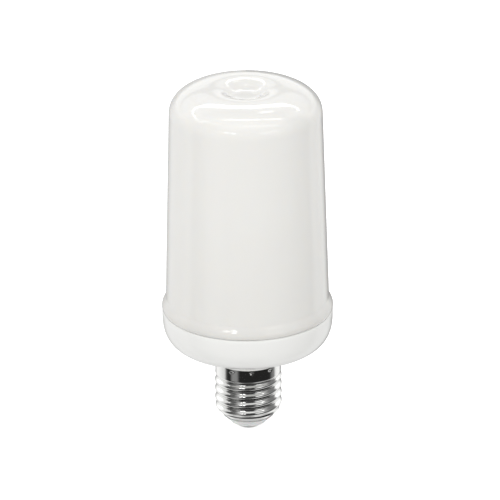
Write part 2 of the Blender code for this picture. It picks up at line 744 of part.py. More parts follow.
def make_flex_led_board():
    """The flexible board round the core: a sheet with its LED packages, which are soldered
    to it for good and so are part of the same node."""
    mesh = bpy.data.meshes.new("flex_led_board")
    bm = bmesh.new()
    count = LED_COLUMNS * FACETS_PER_COLUMN
    columns = []
    for i in range(count + 1):
        angle = flex_angle(i / count)
        low = bm.verts.new(around(FLEX_INNER_RADIUS, angle, FLEX_BOTTOM))
        high = bm.verts.new(around(FLEX_INNER_RADIUS, angle, FLEX_TOP))
        columns.append((low, high))
    for (low, high), (next_low, next_high) in zip(columns, columns[1:]):
        bm.faces.new((low, next_low, next_high, high))
    bm.to_mesh(mesh)
    bm.free()
    board = add_object("flex_led_board", mesh)
    sheet = board.modifiers.new("sheet", "SOLIDIFY")
    sheet.thickness = FLEX_THICKNESS
    sheet.offset = 1.0
    pads = [
        led_pad(flex_angle((column + 0.5) / LED_COLUMNS), LED_LOWEST_ROW + LED_ROW_PITCH * row)
        for column in range(LED_COLUMNS)
        for row in range(LED_ROWS)
    ]
    riser, strip, disc, tab_pads = crown_tab()
    for piece in (riser, strip, disc):
        combine(board, piece, "UNION")
    combine(board, merge_meshes("led_packages", pads + tab_pads), "UNION")
    return finish(freeze(board), BOARD_WHITE)


# Chips

def chip(name, size, legs, surface, edge=0.0):
    """A moulded chip with gull-wing legs along its long sides, lying on the XY plane and
    facing +Z. Size is its length along X, its width along Y and its thickness."""
    length, width, thickness = size
    lift = LEG_SIZE / 2
    body = box(name, (length, width, thickness - lift), (0, 0, (thickness + lift) / 2), bevel=edge)
    pitch = length / legs
    feet = []
    for i in range(legs):
        along = pitch * (i + 0.5) - length / 2
        reach = width + LEG_SIZE * 4
        feet.append(box("leg", (LEG_SIZE, reach, lift * 2), (along, 0, lift), CUTTERS))
    combine(body, merge_meshes(f"{name}_legs", feet), "UNION")
    return finish(freeze(body), surface)


def on_board(place, height):
    """A point at a height over the driver board's front face, or over its back if negative."""
    across, up = place
    return Vector((BOARD_WIDTH * across, -height, BOARD_BOTTOM + BOARD_LENGTH * up))


def place_on_board(item, place, front):
    """Lays a part on the driver board's front or back face."""
    turn = 90.0 if front else -90.0
    height = BOARD_FACE + GAP
    item.data.transform(Matrix.Rotation(math.radians(turn), 4, "X"))
    item.location = on_board(place, height if front else -height)
    return item


def place_on_flex(item, angle, height):
    """Stands a chip on the wrapped board with its length upright."""
    upright = Matrix.Rotation(math.radians(90.0), 4, "Y")
    item.data.transform(upright)
    item.location = around(FLEX_OUTER_RADIUS + GAP, angle, height)
    item.rotation_euler = (0.0, 0.0, math.radians(angle))
    return item


def make_flex_chips():
    """The chip that runs the flicker pattern and one transistor for each row of LEDs."""
    size = (CONTROLLER_LENGTH, CONTROLLER_WIDTH, CONTROLLER_THICKNESS)
    controller = chip("flame_controller_chip", size, CONTROLLER_LEGS, CHIP_BLACK, LEG_SIZE / 2)
    place_on_flex(controller, 180.0, CHIP_HEIGHT_ON_BOARD)
    size = (TRANSISTOR_LENGTH, TRANSISTOR_WIDTH, TRANSISTOR_THICKNESS)
    step = (TRANSISTOR_LAST_ANGLE - TRANSISTOR_FIRST_ANGLE) / (TRANSISTOR_COUNT - 1)
    for i in range(TRANSISTOR_COUNT):
        transistor = chip(f"row_transistor_{i + 1}", size, 2, CHIP_BLACK)
        place_on_flex(transistor, TRANSISTOR_FIRST_ANGLE + step * i, CHIP_HEIGHT_ON_BOARD)


# Driver

def make_driver_board():
    middle = BOARD_BOTTOM + BOARD_LENGTH / 2
    board = box("driver_board", (BOARD_WIDTH, BOARD_THICKNESS, BOARD_LENGTH), (0.0, 0.0, middle))
    return finish(board, BOARD_GREEN)


def make_can(name, place):
    """A sealed electrolytic capacitor: a sleeved can with its crimped bead."""
    bead = CAN_LENGTH * 0.14
    outline = [
        (0.0, CAN_LENGTH),
        (CAN_RADIUS - CAN_CRIMP, CAN_LENGTH),
        (CAN_RADIUS, CAN_LENGTH - CAN_CRIMP),
        (CAN_RADIUS, bead + CAN_CRIMP * 2),
        (CAN_RADIUS - CAN_CRIMP, bead),
        (CAN_RADIUS, bead - CAN_CRIMP * 2),
        (CAN_RADIUS, 0.0),
        (0.0, 0.0),
    ]
    can = freeze(turned(name, outline, SMALL_STEPS, closed=False))
    place_on_board(can, place, True)
    return finish(can, CAN_SLEEVE)


def make_inductor():
    """A ferrite drum with its winding seated between the flanges."""
    flange = INDUCTOR_FLANGE
    top = INDUCTOR_LENGTH
    outline = [
        (0.0, top),
        (INDUCTOR_FLANGE_RADIUS, top),
        (INDUCTOR_FLANGE_RADIUS, top - flange),
        (INDUCTOR_CORE_RADIUS, top - flange),
        (INDUCTOR_CORE_RADIUS, flange),
        (INDUCTOR_FLANGE_RADIUS, flange),
        (INDUCTOR_FLANGE_RADIUS, 0.0),
        (0.0, 0.0),
    ]
    drum = freeze(turned("inductor_core", outline, SMALL_STEPS, closed=False))
    place_on_board(drum, INDUCTOR_PLACE, True)
    finish(drum, FERRITE)
    inner = INDUCTOR_CORE_RADIUS + GAP
    outline = [
        (inner, top - flange - GAP),
        (WINDING_RADIUS, top - flange - GAP),
        (WINDING_RADIUS, flange + GAP),
        (inner, flange + GAP),
    ]
    winding = freeze(turned("inductor_winding", outline, SMALL_STEPS))
    place_on_board(winding, INDUCTOR_PLACE, True)
    finish(winding, COPPER)


def make_fuse_resistor():
    """An axial fusible resistor, its leads bent back to the board."""
    half = RESISTOR_LENGTH / 2
    waist = RESISTOR_RADIUS * 0.85
    outline = [
        (0.0, half),
        (RESISTOR_RADIUS, half),
        (RESISTOR_RADIUS, half * 0.6),
        (waist, half * 0.5),
        (waist, -half * 0.5),
        (RESISTOR_RADIUS, -half * 0.6),
        (RESISTOR_RADIUS, -half),
        (0.0, -half),
    ]
    body = turned("fuse_resistor", outline, 12, closed=False)
    reach = half + RESISTOR_LEAD_SPREAD
    lead = RESISTOR_LEAD_RADIUS
    through = rod("through", lead, (0, 0, -reach), (0, 0, reach), 6)
    bend = reach - lead
    legs = [
        rod("leg", lead * 1.2, (0, -lead, end), (0, RESISTOR_RADIUS, end), 6) for end in (-bend, bend)
    ]
    combine(body, through, "UNION")
    combine(body, merge_meshes("resistor_legs", legs), "UNION")
    body = freeze(body)
    body.data.transform(Matrix.Rotation(math.radians(90.0), 4, "Y"))
    body.location = on_board(RESISTOR_PLACE, BOARD_FACE + GAP + RESISTOR_RADIUS)
    return finish(body, RESISTOR_COAT)


def make_driver_parts():
    make_driver_board()
    make_can("input_capacitor", INPUT_CAN_PLACE)
    make_can("output_capacitor", OUTPUT_CAN_PLACE)
    make_inductor()
    make_fuse_resistor()
    bridge = chip("bridge_rectifier", BRIDGE_SIZE, 2, CHIP_BLACK, LEG_SIZE / 2)
    place_on_board(bridge, BRIDGE_PLACE, True)
    buck = chip("buck_chip", BUCK_SIZE, 4, CHIP_BLACK, LEG_SIZE / 2)
    place_on_board(buck, BUCK_PLACE, False)
    diode = chip("freewheel_diode", DIODE_SIZE, 1, CHIP_BLACK)
    place_on_board(diode, DIODE_PLACE, False)


# Leads

def smooth_route(points):
    """Points of a smooth curve through the route's own points."""
    made = []
    ends = [points[0], *points, points[-1]]
    for i in range(len(points) - 1):
        before, start, end, after = (Vector(p) for p in ends[i:i + 4])
        for j in range(LEAD_SMOOTHING):
            t = j / LEAD_SMOOTHING
            pull = (end - before) * t + (before * 2 - start * 5 + end * 4 - after) * t * t
            bend = (start * 3 - before - end * 3 + after) * t ** 3
            made.append(start + (pull + bend) / 2)
    made.append(Vector(points[-1]))
    return made


def make_lead(name, points, radius, surface):
    curve = bpy.data.curves.new(name, "CURVE")
    curve.dimensions = "3D"
    curve.bevel_depth = radius
    curve.bevel_resolution = 1
    curve.use_fill_caps = True
    route = smooth_route(points)
    spline = curve.splines.new("POLY")
    spline.points.add(len(route) - 1)
    for knot, point in zip(spline.points, route):
        knot.co = (*point, 1.0)
    curve.materials.append(surface)
    return add_object(name, curve)


def make_mains_leads():
    """Live runs down the neck into the contact's stem, neutral to the shell's cone."""
    start = -(BOARD_FACE + GAP + MAINS_LEAD_RADIUS)
    spread = MAINS_LEAD_SPREAD
    high = BOARD_BOTTOM + MAINS_LEAD_RISE
    live = [
        (-spread, start, high),
        (-spread, start, BOARD_BOTTOM),
        (-spread * 0.8, start * 1.3, CAP_HEIGHT),
        (-spread * 0.3, start * 1.2, NECK_TIP_HEIGHT + THREAD_PITCH * 1.5),
        (0.0, start * 0.3, NECK_TIP_HEIGHT + THREAD_PITCH * 0.4),
        (0.0, 0.0, CONTACT_STEM_HEIGHT + CONTACT_BORE_RADIUS),
        (0.0, 0.0, CONTACT_STEM_HEIGHT - CONTACT_BORE_DEPTH + GAP * 2),
    ]
    touch_height = THREAD_BOTTOM + THREAD_RUNOUT / 4
    touch = THREAD_ROOT_RADIUS - SHELL_WALL - GAP - MAINS_LEAD_RADIUS
    neutral = [
        (spread, start, high),
        (spread, start, BOARD_BOTTOM),
        (spread * 1.1, start, CAP_HEIGHT),
        (spread * 1.2, start, NECK_TIP_HEIGHT + THREAD_PITCH),
        (spread * 1.4, start * 0.8, NECK_TIP_HEIGHT - GAP),
        (touch, 0.0, touch_height + MAINS_LEAD_RADIUS),
    ]
    make_lead("live_lead", live, MAINS_LEAD_RADIUS, LEAD_RED)
    make_lead("neutral_lead", neutral, MAINS_LEAD_RADIUS, LEAD_BLACK)


def make_led_leads():
    """Two leads from the driver's back face, out through the core and up to the flexible
    board's lower margin."""
    hole = lead_hole_height()
    board_y = BOARD_FACE + GAP + LED_LEAD_RADIUS
    outside = FLEX_OUTER_RADIUS + GAP + LED_LEAD_RADIUS
    sides = (("led_lead_positive", 1.0, LEAD_RED), ("led_lead_negative", -1.0, LEAD_BLACK))
    for name, side, surface in sides:
        angle = 90.0 - side * LED_LEAD_ANGLE
        inner = around(CORE_RADIUS - CORE_WALL * 3, angle, hole)
        points = [
            (inner.x, board_y, hole + LED_LEAD_RISE),
            (inner.x, board_y + LED_LEAD_RADIUS / 3, hole + LED_LEAD_RISE * 2 / 3),
            (inner.x, board_y + LED_LEAD_RADIUS * 5, hole + LED_LEAD_RISE / 4),
            tuple(inner),
            tuple(around(CORE_RADIUS, angle, hole)),
            tuple(around(outside + LED_LEAD_RADIUS, angle, hole + LED_LEAD_RADIUS * 1.7)),
            tuple(around(outside, angle, FLEX_BOTTOM + LED_LEAD_END * 0.3)),
            tuple(around(outside, angle, FLEX_BOTTOM + LED_LEAD_END)),
        ]
        make_lead(name, points, LED_LEAD_RADIUS, surface)


def build():
    make_screw_shell()
    make_cap_insulator()
    make_centre_contact()
    make_base_cup()
    make_diffuser()
    make_led_core()
    make_flex_led_board()
    make_flex_chips()
    make_driver_parts()
    make_mains_leads()
    make_led_leads()
    for number, angle in enumerate(BOSS_ANGLES, 1):
        make_flange_screw(number, angle)


build()
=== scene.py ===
"""Looks of the flame effect lamp: its visible pieces, their finishes and a small studio.

The CAD frame's origin is the middle of the centre contact's flat face, +Z runs up the lamp's
axis and the front of the lamp faces -Y. Lengths are in metres.
"""

import math

import bmesh
import bpy
from bpy.props import FloatProperty, FloatVectorProperty, IntProperty, PointerProperty
from bpy.types import Operator, Panel, PropertyGroup
from mathutils import Matrix, Vector


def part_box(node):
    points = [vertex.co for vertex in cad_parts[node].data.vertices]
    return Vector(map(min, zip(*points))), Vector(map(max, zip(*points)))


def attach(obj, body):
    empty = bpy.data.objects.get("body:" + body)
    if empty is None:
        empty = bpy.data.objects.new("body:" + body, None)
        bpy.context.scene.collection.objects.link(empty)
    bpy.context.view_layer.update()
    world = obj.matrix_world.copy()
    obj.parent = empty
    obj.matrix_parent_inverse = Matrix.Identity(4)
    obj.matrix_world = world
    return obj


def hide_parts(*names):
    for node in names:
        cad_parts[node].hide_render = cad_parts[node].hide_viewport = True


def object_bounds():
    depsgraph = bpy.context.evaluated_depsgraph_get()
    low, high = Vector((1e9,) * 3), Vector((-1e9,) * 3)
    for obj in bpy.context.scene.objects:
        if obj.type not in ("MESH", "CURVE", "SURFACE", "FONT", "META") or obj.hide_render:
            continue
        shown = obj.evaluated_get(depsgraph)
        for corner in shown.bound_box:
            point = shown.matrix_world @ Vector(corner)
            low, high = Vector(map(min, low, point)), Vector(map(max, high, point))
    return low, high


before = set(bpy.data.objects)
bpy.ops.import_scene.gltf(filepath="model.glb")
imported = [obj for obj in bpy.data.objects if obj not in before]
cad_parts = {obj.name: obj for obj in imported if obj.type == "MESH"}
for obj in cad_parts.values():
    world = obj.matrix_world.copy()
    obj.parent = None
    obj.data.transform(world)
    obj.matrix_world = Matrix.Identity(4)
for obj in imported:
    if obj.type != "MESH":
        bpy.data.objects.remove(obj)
CAD_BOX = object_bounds()

bl_info = {
    "name": "Flame effect lamp",
    "version": (1, 0, 0),
    "blender": (4, 5, 0),
    "location": "View3D > Sidebar > Flame lamp",
    "description": "Makes the lamp's visible pieces, gives them their finishes and sets up the studio",
    "category": "Object",
}

# Clearance between pieces that seat on each other, and how far the floor lies below the contact
GAP = 0.0003
FLOOR_GAP = 0.0001

FULL_TURN = 2.0 * math.pi
QUARTER_TURN = math.pi / 2.0
WHITE = (1.0, 1.0, 1.0, 1.0)
TIN = (0.70, 0.70, 0.68)


# Settings

def length(name, description, default):
    """A length in metres that a user may change."""
    return FloatProperty(
        name=name, description=description, default=default, min=0.0, unit="LENGTH", precision=5
    )


def angle(name, description, degrees):
    """An angle that a user may change."""
    return FloatProperty(
        name=name, description=description, default=math.radians(degrees), subtype="ANGLE"
    )


def colour(name, description, default):
    """A linear colour that a user may change."""
    return FloatVectorProperty(
        name=name, description=description, default=default, size=3, min=0.0, max=1.0, subtype="COLOR"
    )


def share(name, description, default, top=1.0):
    """A plain number from zero up."""
    return FloatProperty(name=name, description=description, default=default, min=0.0, max=top)


def whole(name, description, default, least):
    """A whole number that a user may change."""
    return IntProperty(name=name, description=description, default=default, min=least)


class CoverSettings(PropertyGroup):
    """The frosted cover"""

    top: length("Dome top", "Height of the dome's level middle, before the dish is sunk in it", 0.14153)
    flat_radius: length("Level middle", "Radius at which the dome starts to fall to the shoulder", 0.01045)
    dish_radius: length("Dish radius", "Radius at which the dish is half as deep", 0.0079)
    dish_sharpness: share("Dish sharpness", "How steeply the dish's side falls", 6.0, 40.0)
    dish_depth: length("Dish depth", "Depth of the dish in the middle", 0.00295)
    shoulder_radius: length("Shoulder radius", "Radius where the shoulder meets the wall", 0.0297)
    shoulder_height: length("Shoulder height", "Height where the shoulder meets the wall", 0.1305)
    roundness: share("Shoulder roundness", "Two is an ellipse, more is squarer", 2.456, 6.0)
    foot_radius: length("Foot radius", "Radius of the wall just above the flare", 0.0317)
    flare_top: length("Flare top", "Height where the wall begins to flare", 0.0555)
    flare_height: length("Flare height", "Height over which the wall flares", 0.0043)
    rim_radius: length("Rim radius", "Radius of the upright rim band", 0.03325)
    bottom: length("Rim bottom", "Height of the rim's lower edge, above the cup's seam", 0.0499)
    wall: length("Wall", "Thickness of the cover", 0.0016)
    skirt_radius: length("Skirt radius", "Radius of the skirt that snaps into the cup", 0.03115)
    skirt_length: length("Skirt length", "How far the skirt reaches down", 0.0042)
    edge: length("Edge round", "Rounding of the rim's lower edge", 0.0009)
    tint: colour("Cover colour", "Colour of the milky cover", (0.84, 0.83, 0.80))


class CupSettings(PropertyGroup):
    """The white cup under the cover"""

    radius: length("Radius", "Radius of the cup at its seam", 0.03315)
    seam: length("Seam height", "Height of the seam between cup and cover", 0.0498)
    bottom: length("Bottom height", "Height of the cup's underside at the neck", 0.0335)
    roundness: share("Roundness", "Two is an ellipse, more is squarer", 3.0, 6.0)
    neck_radius: length("Neck radius", "Radius of the neck above the screw cap", 0.0132)
    neck_fillet: length("Neck fillet", "Rounding between neck and underside", 0.0012)
    neck_bottom: length("Neck shoulder", "Height at which the neck enters the screw cap", 0.0283)
    seat_radius: length("Collar seat", "Radius of the neck inside the cap's collar", 0.0122)
    thread_seat: length("Thread seat", "Radius of the neck inside the cap's thread", 0.0115)
    seat_bottom: length("Seat bottom", "Height at which the collar seat ends", 0.0237)
    groove_radius: length("Groove", "Radius of the groove that the punch marks press into", 0.0118)
    groove_top: length("Groove top", "Height of the groove's upper edge", 0.0276)
    groove_width: length("Groove width", "Height of the groove", 0.0020)
    tip: length("Neck tip", "Height of the neck's lower end", 0.0115)
    bore: length("Neck bore", "Radius of the hollow of the neck", 0.0094)
    wall: length("Wall", "Thickness of the cup", 0.0017)
    floor: length("Floor", "Thickness of the cup's floor", 0.0020)
    skirt_room: length("Skirt room", "Depth of straight wall that the cover's skirt goes into", 0.0042)
    edge: length("Edge round", "Rounding of the cup's upper edge", 0.0008)
    boss_circle: length("Boss circle", "Radius of the circle that the screw bosses stand on", 0.0245)
    boss_radius: length("Boss radius", "Radius of a screw boss", 0.0032)
    boss_bore: length("Boss bore", "Radius of a boss's screw hole", 0.0017)
    boss_top: length("Boss top", "Height of the bosses' upper faces", 0.0423)
    tint: colour("Cup colour", "Colour of the glossy white cup", (0.865, 0.865, 0.845))


class CapSettings(PropertyGroup):
    """The screw cap, its insulator and its contact"""

    crest_radius: length("Crest radius", "Radius over the thread's crests", 0.01305)
    root_radius: length("Root radius", "Radius in the thread's valleys", 0.01210)
    pitch: length("Pitch", "Rise of the thread in one turn", 0.003629)
    left_crest: length("Left crest", "Height at which a crest passes the lamp's left side", 0.0194)
    thread_bottom: length("Thread bottom", "Height at which the thread starts", 0.0074)
    runout: length("Runout", "Height over which the thread fades at each end", 0.0018)
    collar_radius: length("Collar radius", "Radius of the plain collar", 0.0128)
    collar_bottom: length("Collar bottom", "Height at which the collar starts", 0.0234)
    top: length("Top", "Height of the collar's upper edge", 0.0280)
    foot_radius: length("Foot radius", "Radius of the shell at the insulator", 0.0101)
    foot_height: length("Foot height", "Height of the shell's lower edge", 0.0054)
    wall: length("Wall", "Thickness of the rolled metal", 0.0003)
    punch_count: whole("Punch marks", "Marks that pin the shell to the neck", 10, 1)
    punch_depth: length("Punch depth", "Depth of a punch mark", 0.00055)
    punch_size: length("Punch size", "Radius of a punch mark", 0.0008)
    punch_height: length("Punch height", "Height of the ring of punch marks", 0.0268)
    punch_angle: angle("Punch angle", "Where the first punch mark is", 276.0)
    rim_radius: length("Insulator rim", "Radius of the insulator's lower rim", 0.0070)
    rim_height: length("Insulator rim height", "Height of the insulator's lower rim", 0.0022)
    washer_top: length("Insulator top", "Height of the insulator's upper face", 0.0070)
    contact_face: length("Contact face", "Radius of the contact's flat face", 0.0039)
    contact_radius: length("Contact radius", "Radius of the contact button", 0.0049)
    contact_edge: length("Contact edge", "Height of the contact button's edge", 0.0010)
    stem_radius: length("Contact stem", "Radius of the contact's stem", 0.0020)
    stem_top: length("Stem top", "Height of the contact's stem", 0.0090)
    metal: colour("Metal colour", "Colour of the plated shell and contact", (0.80, 0.80, 0.785))
    insulator: colour("Insulator colour", "Colour of the insulator", (0.90, 0.91, 0.90))


class BoardSettings(PropertyGroup):
    """The light board round the core"""

    columns: whole("Columns", "Columns of lights round the core", 12, 3)
    rows: whole("Rows", "Rows of lights up the core", 8, 2)
    radius: length("Light face", "Radius of the light packages' faces", 0.0206)
    seam: angle("Seam", "Open angle at the board's seam", 4.4)
    lowest: length("Lowest row", "Height of the lowest row of lights", 0.0655)
    row_pitch: length("Row pitch", "Height from one row to the next", 0.0075)
    tab_lights: whole("Tab lights", "Lights on the folded tab", 3, 1)
    tab_radius: length("Tab circle", "Radius of the circle that the tab's lights lie on", 0.0065)
    window_width: length("Window width", "Width of a light's yellow window", 0.0022)
    window_length: length("Window length", "Length of a light's yellow window", 0.0029)
    window_rise: length("Window rise", "How far a window stands out of its package", 0.00012)
    mask: colour("Board colour", "Colour of the white solder mask", (0.90, 0.90, 0.87))
    phosphor: colour("Window colour", "Colour of the lights' windows", (0.85, 0.62, 0.10))


class DriverSettings(PropertyGroup):
    """The driver board and the parts on it"""

    winding_turns: whole("Turns", "Turns of the coil's outer layer", 15, 2)
    wire_radius: length("Wire radius", "Radius of the coil's wire", 0.00018)
    drum_radius: length("Drum radius", "Radius of the ferrite drum inside the coil", 0.0020)
    joint_radius: length("Joint radius", "Radius of a solder joint", 0.0008)
    pin_pitch: length("Pin pitch", "Distance between the pins of a capacitor or coil", 0.0035)
    mask: colour("Board colour", "Colour of the green solder mask", (0.05, 0.26, 0.12))
    wire: colour("Wire colour", "Colour of the enamelled copper", (0.72, 0.33, 0.14))
    sleeve: colour("Sleeve colour", "Colour of the capacitors' sleeves", (0.06, 0.07, 0.10))


class StudioSettings(PropertyGroup):
    """Camera, floor and light"""

    elevation: angle("Elevation", "How far above the horizon the camera looks from", 23.3)
    roll: angle("Roll", "How far the camera leans", 0.54)
    distance: length("Distance", "Distance from the camera to the point it looks at", 3.0)
    aim_height: length("Aim height", "Height of the point that the camera looks at", 0.072)
    right: length("Right", "How far the camera stands to the right of the lamp's axis", 0.001167)
    up: length("Up", "How far the camera is raised in its own upward direction", 0.00169)
    lens: share("Lens", "Focal length in millimetres on a 36 mm sensor", 557.28, 2000.0)
    fill: share("Fill", "Strength of the soft light from all round", 0.70, 5.0)
    key: share("Key", "Power of the soft lamp above the camera", 2.6, 200.0)


class LampSettings(PropertyGroup):
    """All of the lamp's settings"""

    cover: PointerProperty(type=CoverSettings)
    cup: PointerProperty(type=CupSettings)
    cap: PointerProperty(type=CapSettings)
    board: PointerProperty(type=BoardSettings)
    driver: PointerProperty(type=DriverSettings)
    studio: PointerProperty(type=StudioSettings)


# Node building

class Value:
    """What a node puts out, with plain arithmetic between such values and numbers."""

    def __init__(self, graph, socket):
        self.graph = graph
        self.socket = socket

    def __add__(self, other):
        return self.graph.math("ADD", self, other)

    def __sub__(self, other):
        return self.graph.math("SUBTRACT", self, other)

    def __mul__(self, other):
        return self.graph.math("MULTIPLY", self, other)

    def __truediv__(self, other):
        return self.graph.math("DIVIDE", self, other)

    def __rtruediv__(self, other):
        return self.graph.math("DIVIDE", other, self)

    def __abs__(self):
        return self.graph.math("ABSOLUTE", self)


class Graph:
    """Adds nodes to a tree. An input that is given a value is linked, and else it is set."""

    def __init__(self, tree):
        self.tree = tree

    def add(self, kind, inputs=None, **settings):
        made = self.tree.nodes.new(kind)
        made.location = (180.0 * len(self.tree.nodes), 0.0)
        for name, value in settings.items():
            setattr(made, name, value)
        for key, value in (inputs or {}).items():
            self.feed(made.inputs[key], value)
        return made

    def take(self, kind, output, inputs=None, **settings):
        """Adds a node and gives one of its outputs."""
        return Value(self, self.add(kind, inputs, **settings).outputs[output])

    def named(self, node):
        """All of a node's outputs by their names."""
        return {socket.name: Value(self, socket) for socket in node.outputs}

    def feed(self, socket, value):
        if isinstance(value, Value):
            self.tree.links.new(value.socket, socket)
        else:
            socket.default_value = value

    def math(self, operation, *values):
        return self.take("ShaderNodeMath", 0, dict(enumerate(values)), operation=operation)

    def parts(self, vector):
        """The X, Y and Z of a vector."""
        return self.named(self.add("ShaderNodeSeparateXYZ", {"Vector": vector}))

    def round_z(self, radius, turn, height):
        """The point at this radius, turn and height round Z."""
        x = radius * self.math("COSINE", turn)
        y = radius * self.math("SINE", turn)
        return self.take("ShaderNodeCombineXYZ", 0, {"X": x, "Y": y, "Z": height})

    def noise(self, vector, scale, detail):
        return self.take("ShaderNodeTexNoise", "Fac", {"Vector": vector, "Scale": scale, "Detail": detail})

    def step(self, value, start, end, low=0.0, high=1.0):
        """Goes smoothly from low to high while the value goes from start to end."""
        inputs = {"Value": value, "From Min": start, "From Max": end, "To Min": low, "To Max": high}
        return self.take("ShaderNodeMapRange", "Result", inputs, interpolation_type="SMOOTHSTEP")

    def band(self, value, start, end, soft):
        """One between start and end, and zero outside, with soft edges."""
        fall = self.step(value, end - soft, end + soft, 1.0, 0.0)
        return self.step(value, start - soft, start + soft) * fall

    def mix(self, factor, first, second):
        """A colour between the first and the second."""
        inputs = {0: factor, 6: opaque(first), 7: opaque(second)}
        return self.take("ShaderNodeMix", 2, inputs, data_type="RGBA")

    def blend(self, factor, first, second):
        """A shader between the first and the second."""
        return self.take("ShaderNodeMixShader", 0, {0: factor, 1: first, 2: second})


def opaque(value):
    """A colour with its alpha. What a node puts out is left as it is."""
    if isinstance(value, Value):
        return value
    return (*value, 1.0)


SHAPE_OUT = [("Geometry", "Geometry")]


def new_group(name, kind, inputs, outputs):
    """The graph of a new node group and its inputs by name. Sockets are given as name and kind,
    and inputs with a default as well."""
    tree = bpy.data.node_groups.new(name, kind)
    for label, socket_kind, default in inputs:
        socket = tree.interface.new_socket(label, in_out="INPUT", socket_type="NodeSocket" + socket_kind)
        if default is not None:
            socket.default_value = default
    for label, socket_kind in outputs:
        tree.interface.new_socket(label, in_out="OUTPUT", socket_type="NodeSocket" + socket_kind)
    graph = Graph(tree)
    return graph, graph.named(graph.add("NodeGroupInput"))


def from_settings(settings, labels):
    """Node inputs by label, with the values of the settings of the same names."""
    return {label: getattr(settings, label.lower().replace(" ", "_")) for label in labels}


# Shared surface effects

def colour_drift_group():
    """Soft uneven colour, such as moulded plastic and plated metal show over a few centimetres."""
    inputs = [
        ("Vector", "Vector", None),
        ("Colour", "Color", WHITE),
        ("Scale", "Float", 30.0),
        ("Amount", "Float", 0.03),
    ]
    graph, given = new_group("colour_drift", "ShaderNodeTree", inputs, [("Colour", "Color")])
    swing = graph.noise(given["Vector"], given["Scale"], 3.0) - 0.5
    shift = {"Color": given["Colour"], "Value": swing * given["Amount"] + 1.0}
    graph.add("NodeGroupOutput", {"Colour": graph.take("ShaderNodeHueSaturation", "Color", shift)})
    return graph.tree


def surface_marks_group():
    """Fine grain, and hairline scratches that run in two directions."""
    inputs = [("Vector", "Vector", None), ("Grain Scale", "Float", 900.0), ("Scratch Scale", "Float", 120.0)]
    outputs = [("Grain", "Float"), ("Scratches", "Float")]
    graph, given = new_group("surface_marks", "ShaderNodeTree", inputs, outputs)
    grain = graph.noise(given["Vector"], given["Grain Scale"], 4.0)
    found = []
    for turn, stretch in (((0.0, 0.5, 0.3), (1.0, 40.0, 4.0)), ((0.4, 0.0, -0.6), (40.0, 1.0, 6.0))):
        way = {"Vector": given["Vector"], "Rotation": turn, "Scale": stretch}
        lines = graph.noise(graph.take("ShaderNodeMapping", 0, way), given["Scratch Scale"], 2.0)
        found.append(graph.step(lines, 0.66, 0.72))
    graph.add("NodeGroupOutput", {"Grain": grain, "Scratches": graph.math("MAXIMUM", *found)})
    return graph.tree


class Finish:
    """A material under construction: its graph, its shader and its object coordinates."""

    groups = {}

    def __init__(self, name):
        self.material = bpy.data.materials.new(name)
        self.material.use_nodes = True
        self.graph = Graph(self.material.node_tree)
        self.shader = self.material.node_tree.nodes["Principled BSDF"]
        self.place = self.graph.take("ShaderNodeTexCoord", "Object")

    def set(self, label, value):
        self.graph.feed(self.shader.inputs[label], value)

    def group(self, maker, inputs):
        """Places a shared surface effect, which is built the first time."""
        if maker not in Finish.groups:
            Finish.groups[maker] = maker()
        inputs = {"Vector": self.place, **inputs}
        return self.graph.named(self.graph.add("ShaderNodeGroup", inputs, node_tree=Finish.groups[maker]))

    def colour(self, value, scale, amount):
        """A colour that drifts by this amount, in patches of this scale."""
        drift = self.group(colour_drift_group, {"Colour": opaque(value), "Scale": scale, "Amount": amount})
        self.set("Base Color", drift["Colour"])

    def marks(self, roughness, spread, depth, grain_scale=900.0, scratch_scale=120.0):
        """Roughness that varies with the marks, and a shallow bump from the grain."""
        scales = {"Grain Scale": grain_scale, "Scratch Scale": scratch_scale}
        marks = self.group(surface_marks_group, scales)
        uneven = marks["Grain"] + marks["Scratches"]
        self.set("Roughness", self.graph.step(uneven, 0.2, 1.6, roughness, roughness + spread))
        bump = {"Height": marks["Grain"], "Distance": depth, "Strength": 0.6}
        self.set("Normal", self.graph.take("ShaderNodeBump", 0, bump))


def even_finish(name, value, drift, marks, sockets):
    """A finish of one colour, with its drift, its marks and the shader's other constants."""
    finish = Finish(name)
    finish.colour(value, *drift)
    finish.marks(*marks)
    for label, constant in sockets.items():
        finish.set(label, constant)
    return finish.material


def plain_finish(name, value, roughness, metallic=0.0, depth=0.00001, drift=0.05):
    """Moulded, coated or plated surfaces that need no more than this."""
    return even_finish(name, value, (60.0, drift), (roughness, 0.12, depth), {"Metallic": metallic})


def cup_finish(cup):
    marks = (0.14, 0.06, 0.000004, 800.0, 70.0)
    return even_finish("white_cup", cup.tint, (26.0, 0.02), marks, {"IOR": 1.50})


def nickel_finish(cap):
    """Bright nickel plate on rolled metal."""
    marks = (0.11, 0.10, 0.000002, 1200.0, 150.0)
    return even_finish("nickel_plate", cap.metal, (90.0, 0.06), marks, {"Metallic": 1.0})


def insulator_finish(cap):
    marks = (0.24, 0.12, 0.000006, 1500.0, 200.0)
    depth = {"Subsurface Weight": 0.1, "Subsurface Scale": 0.001}
    return even_finish("pale_insulator", cap.insulator, (60.0, 0.04), marks, depth)


def phosphor_finish(board):
    """The lights' resin, uneven in its depth of colour."""
    marks = (0.25, 0.1, 0.00001, 2500.0, 100.0)
    depth = {"Subsurface Weight": 0.2, "Subsurface Scale": 0.0004}
    return even_finish("phosphor", board.phosphor, (700.0, 0.12), marks, depth)


def coil_finish(driver):
    """Copper under clear enamel."""
    marks = (0.26, 0.12, 0.00001, 2500.0, 300.0)
    enamel = {"Metallic": 1.0, "Coat Weight": 0.6, "Coat Roughness": 0.1}
    return even_finish("copper_wire", driver.wire, (300.0, 0.10), marks, enamel)


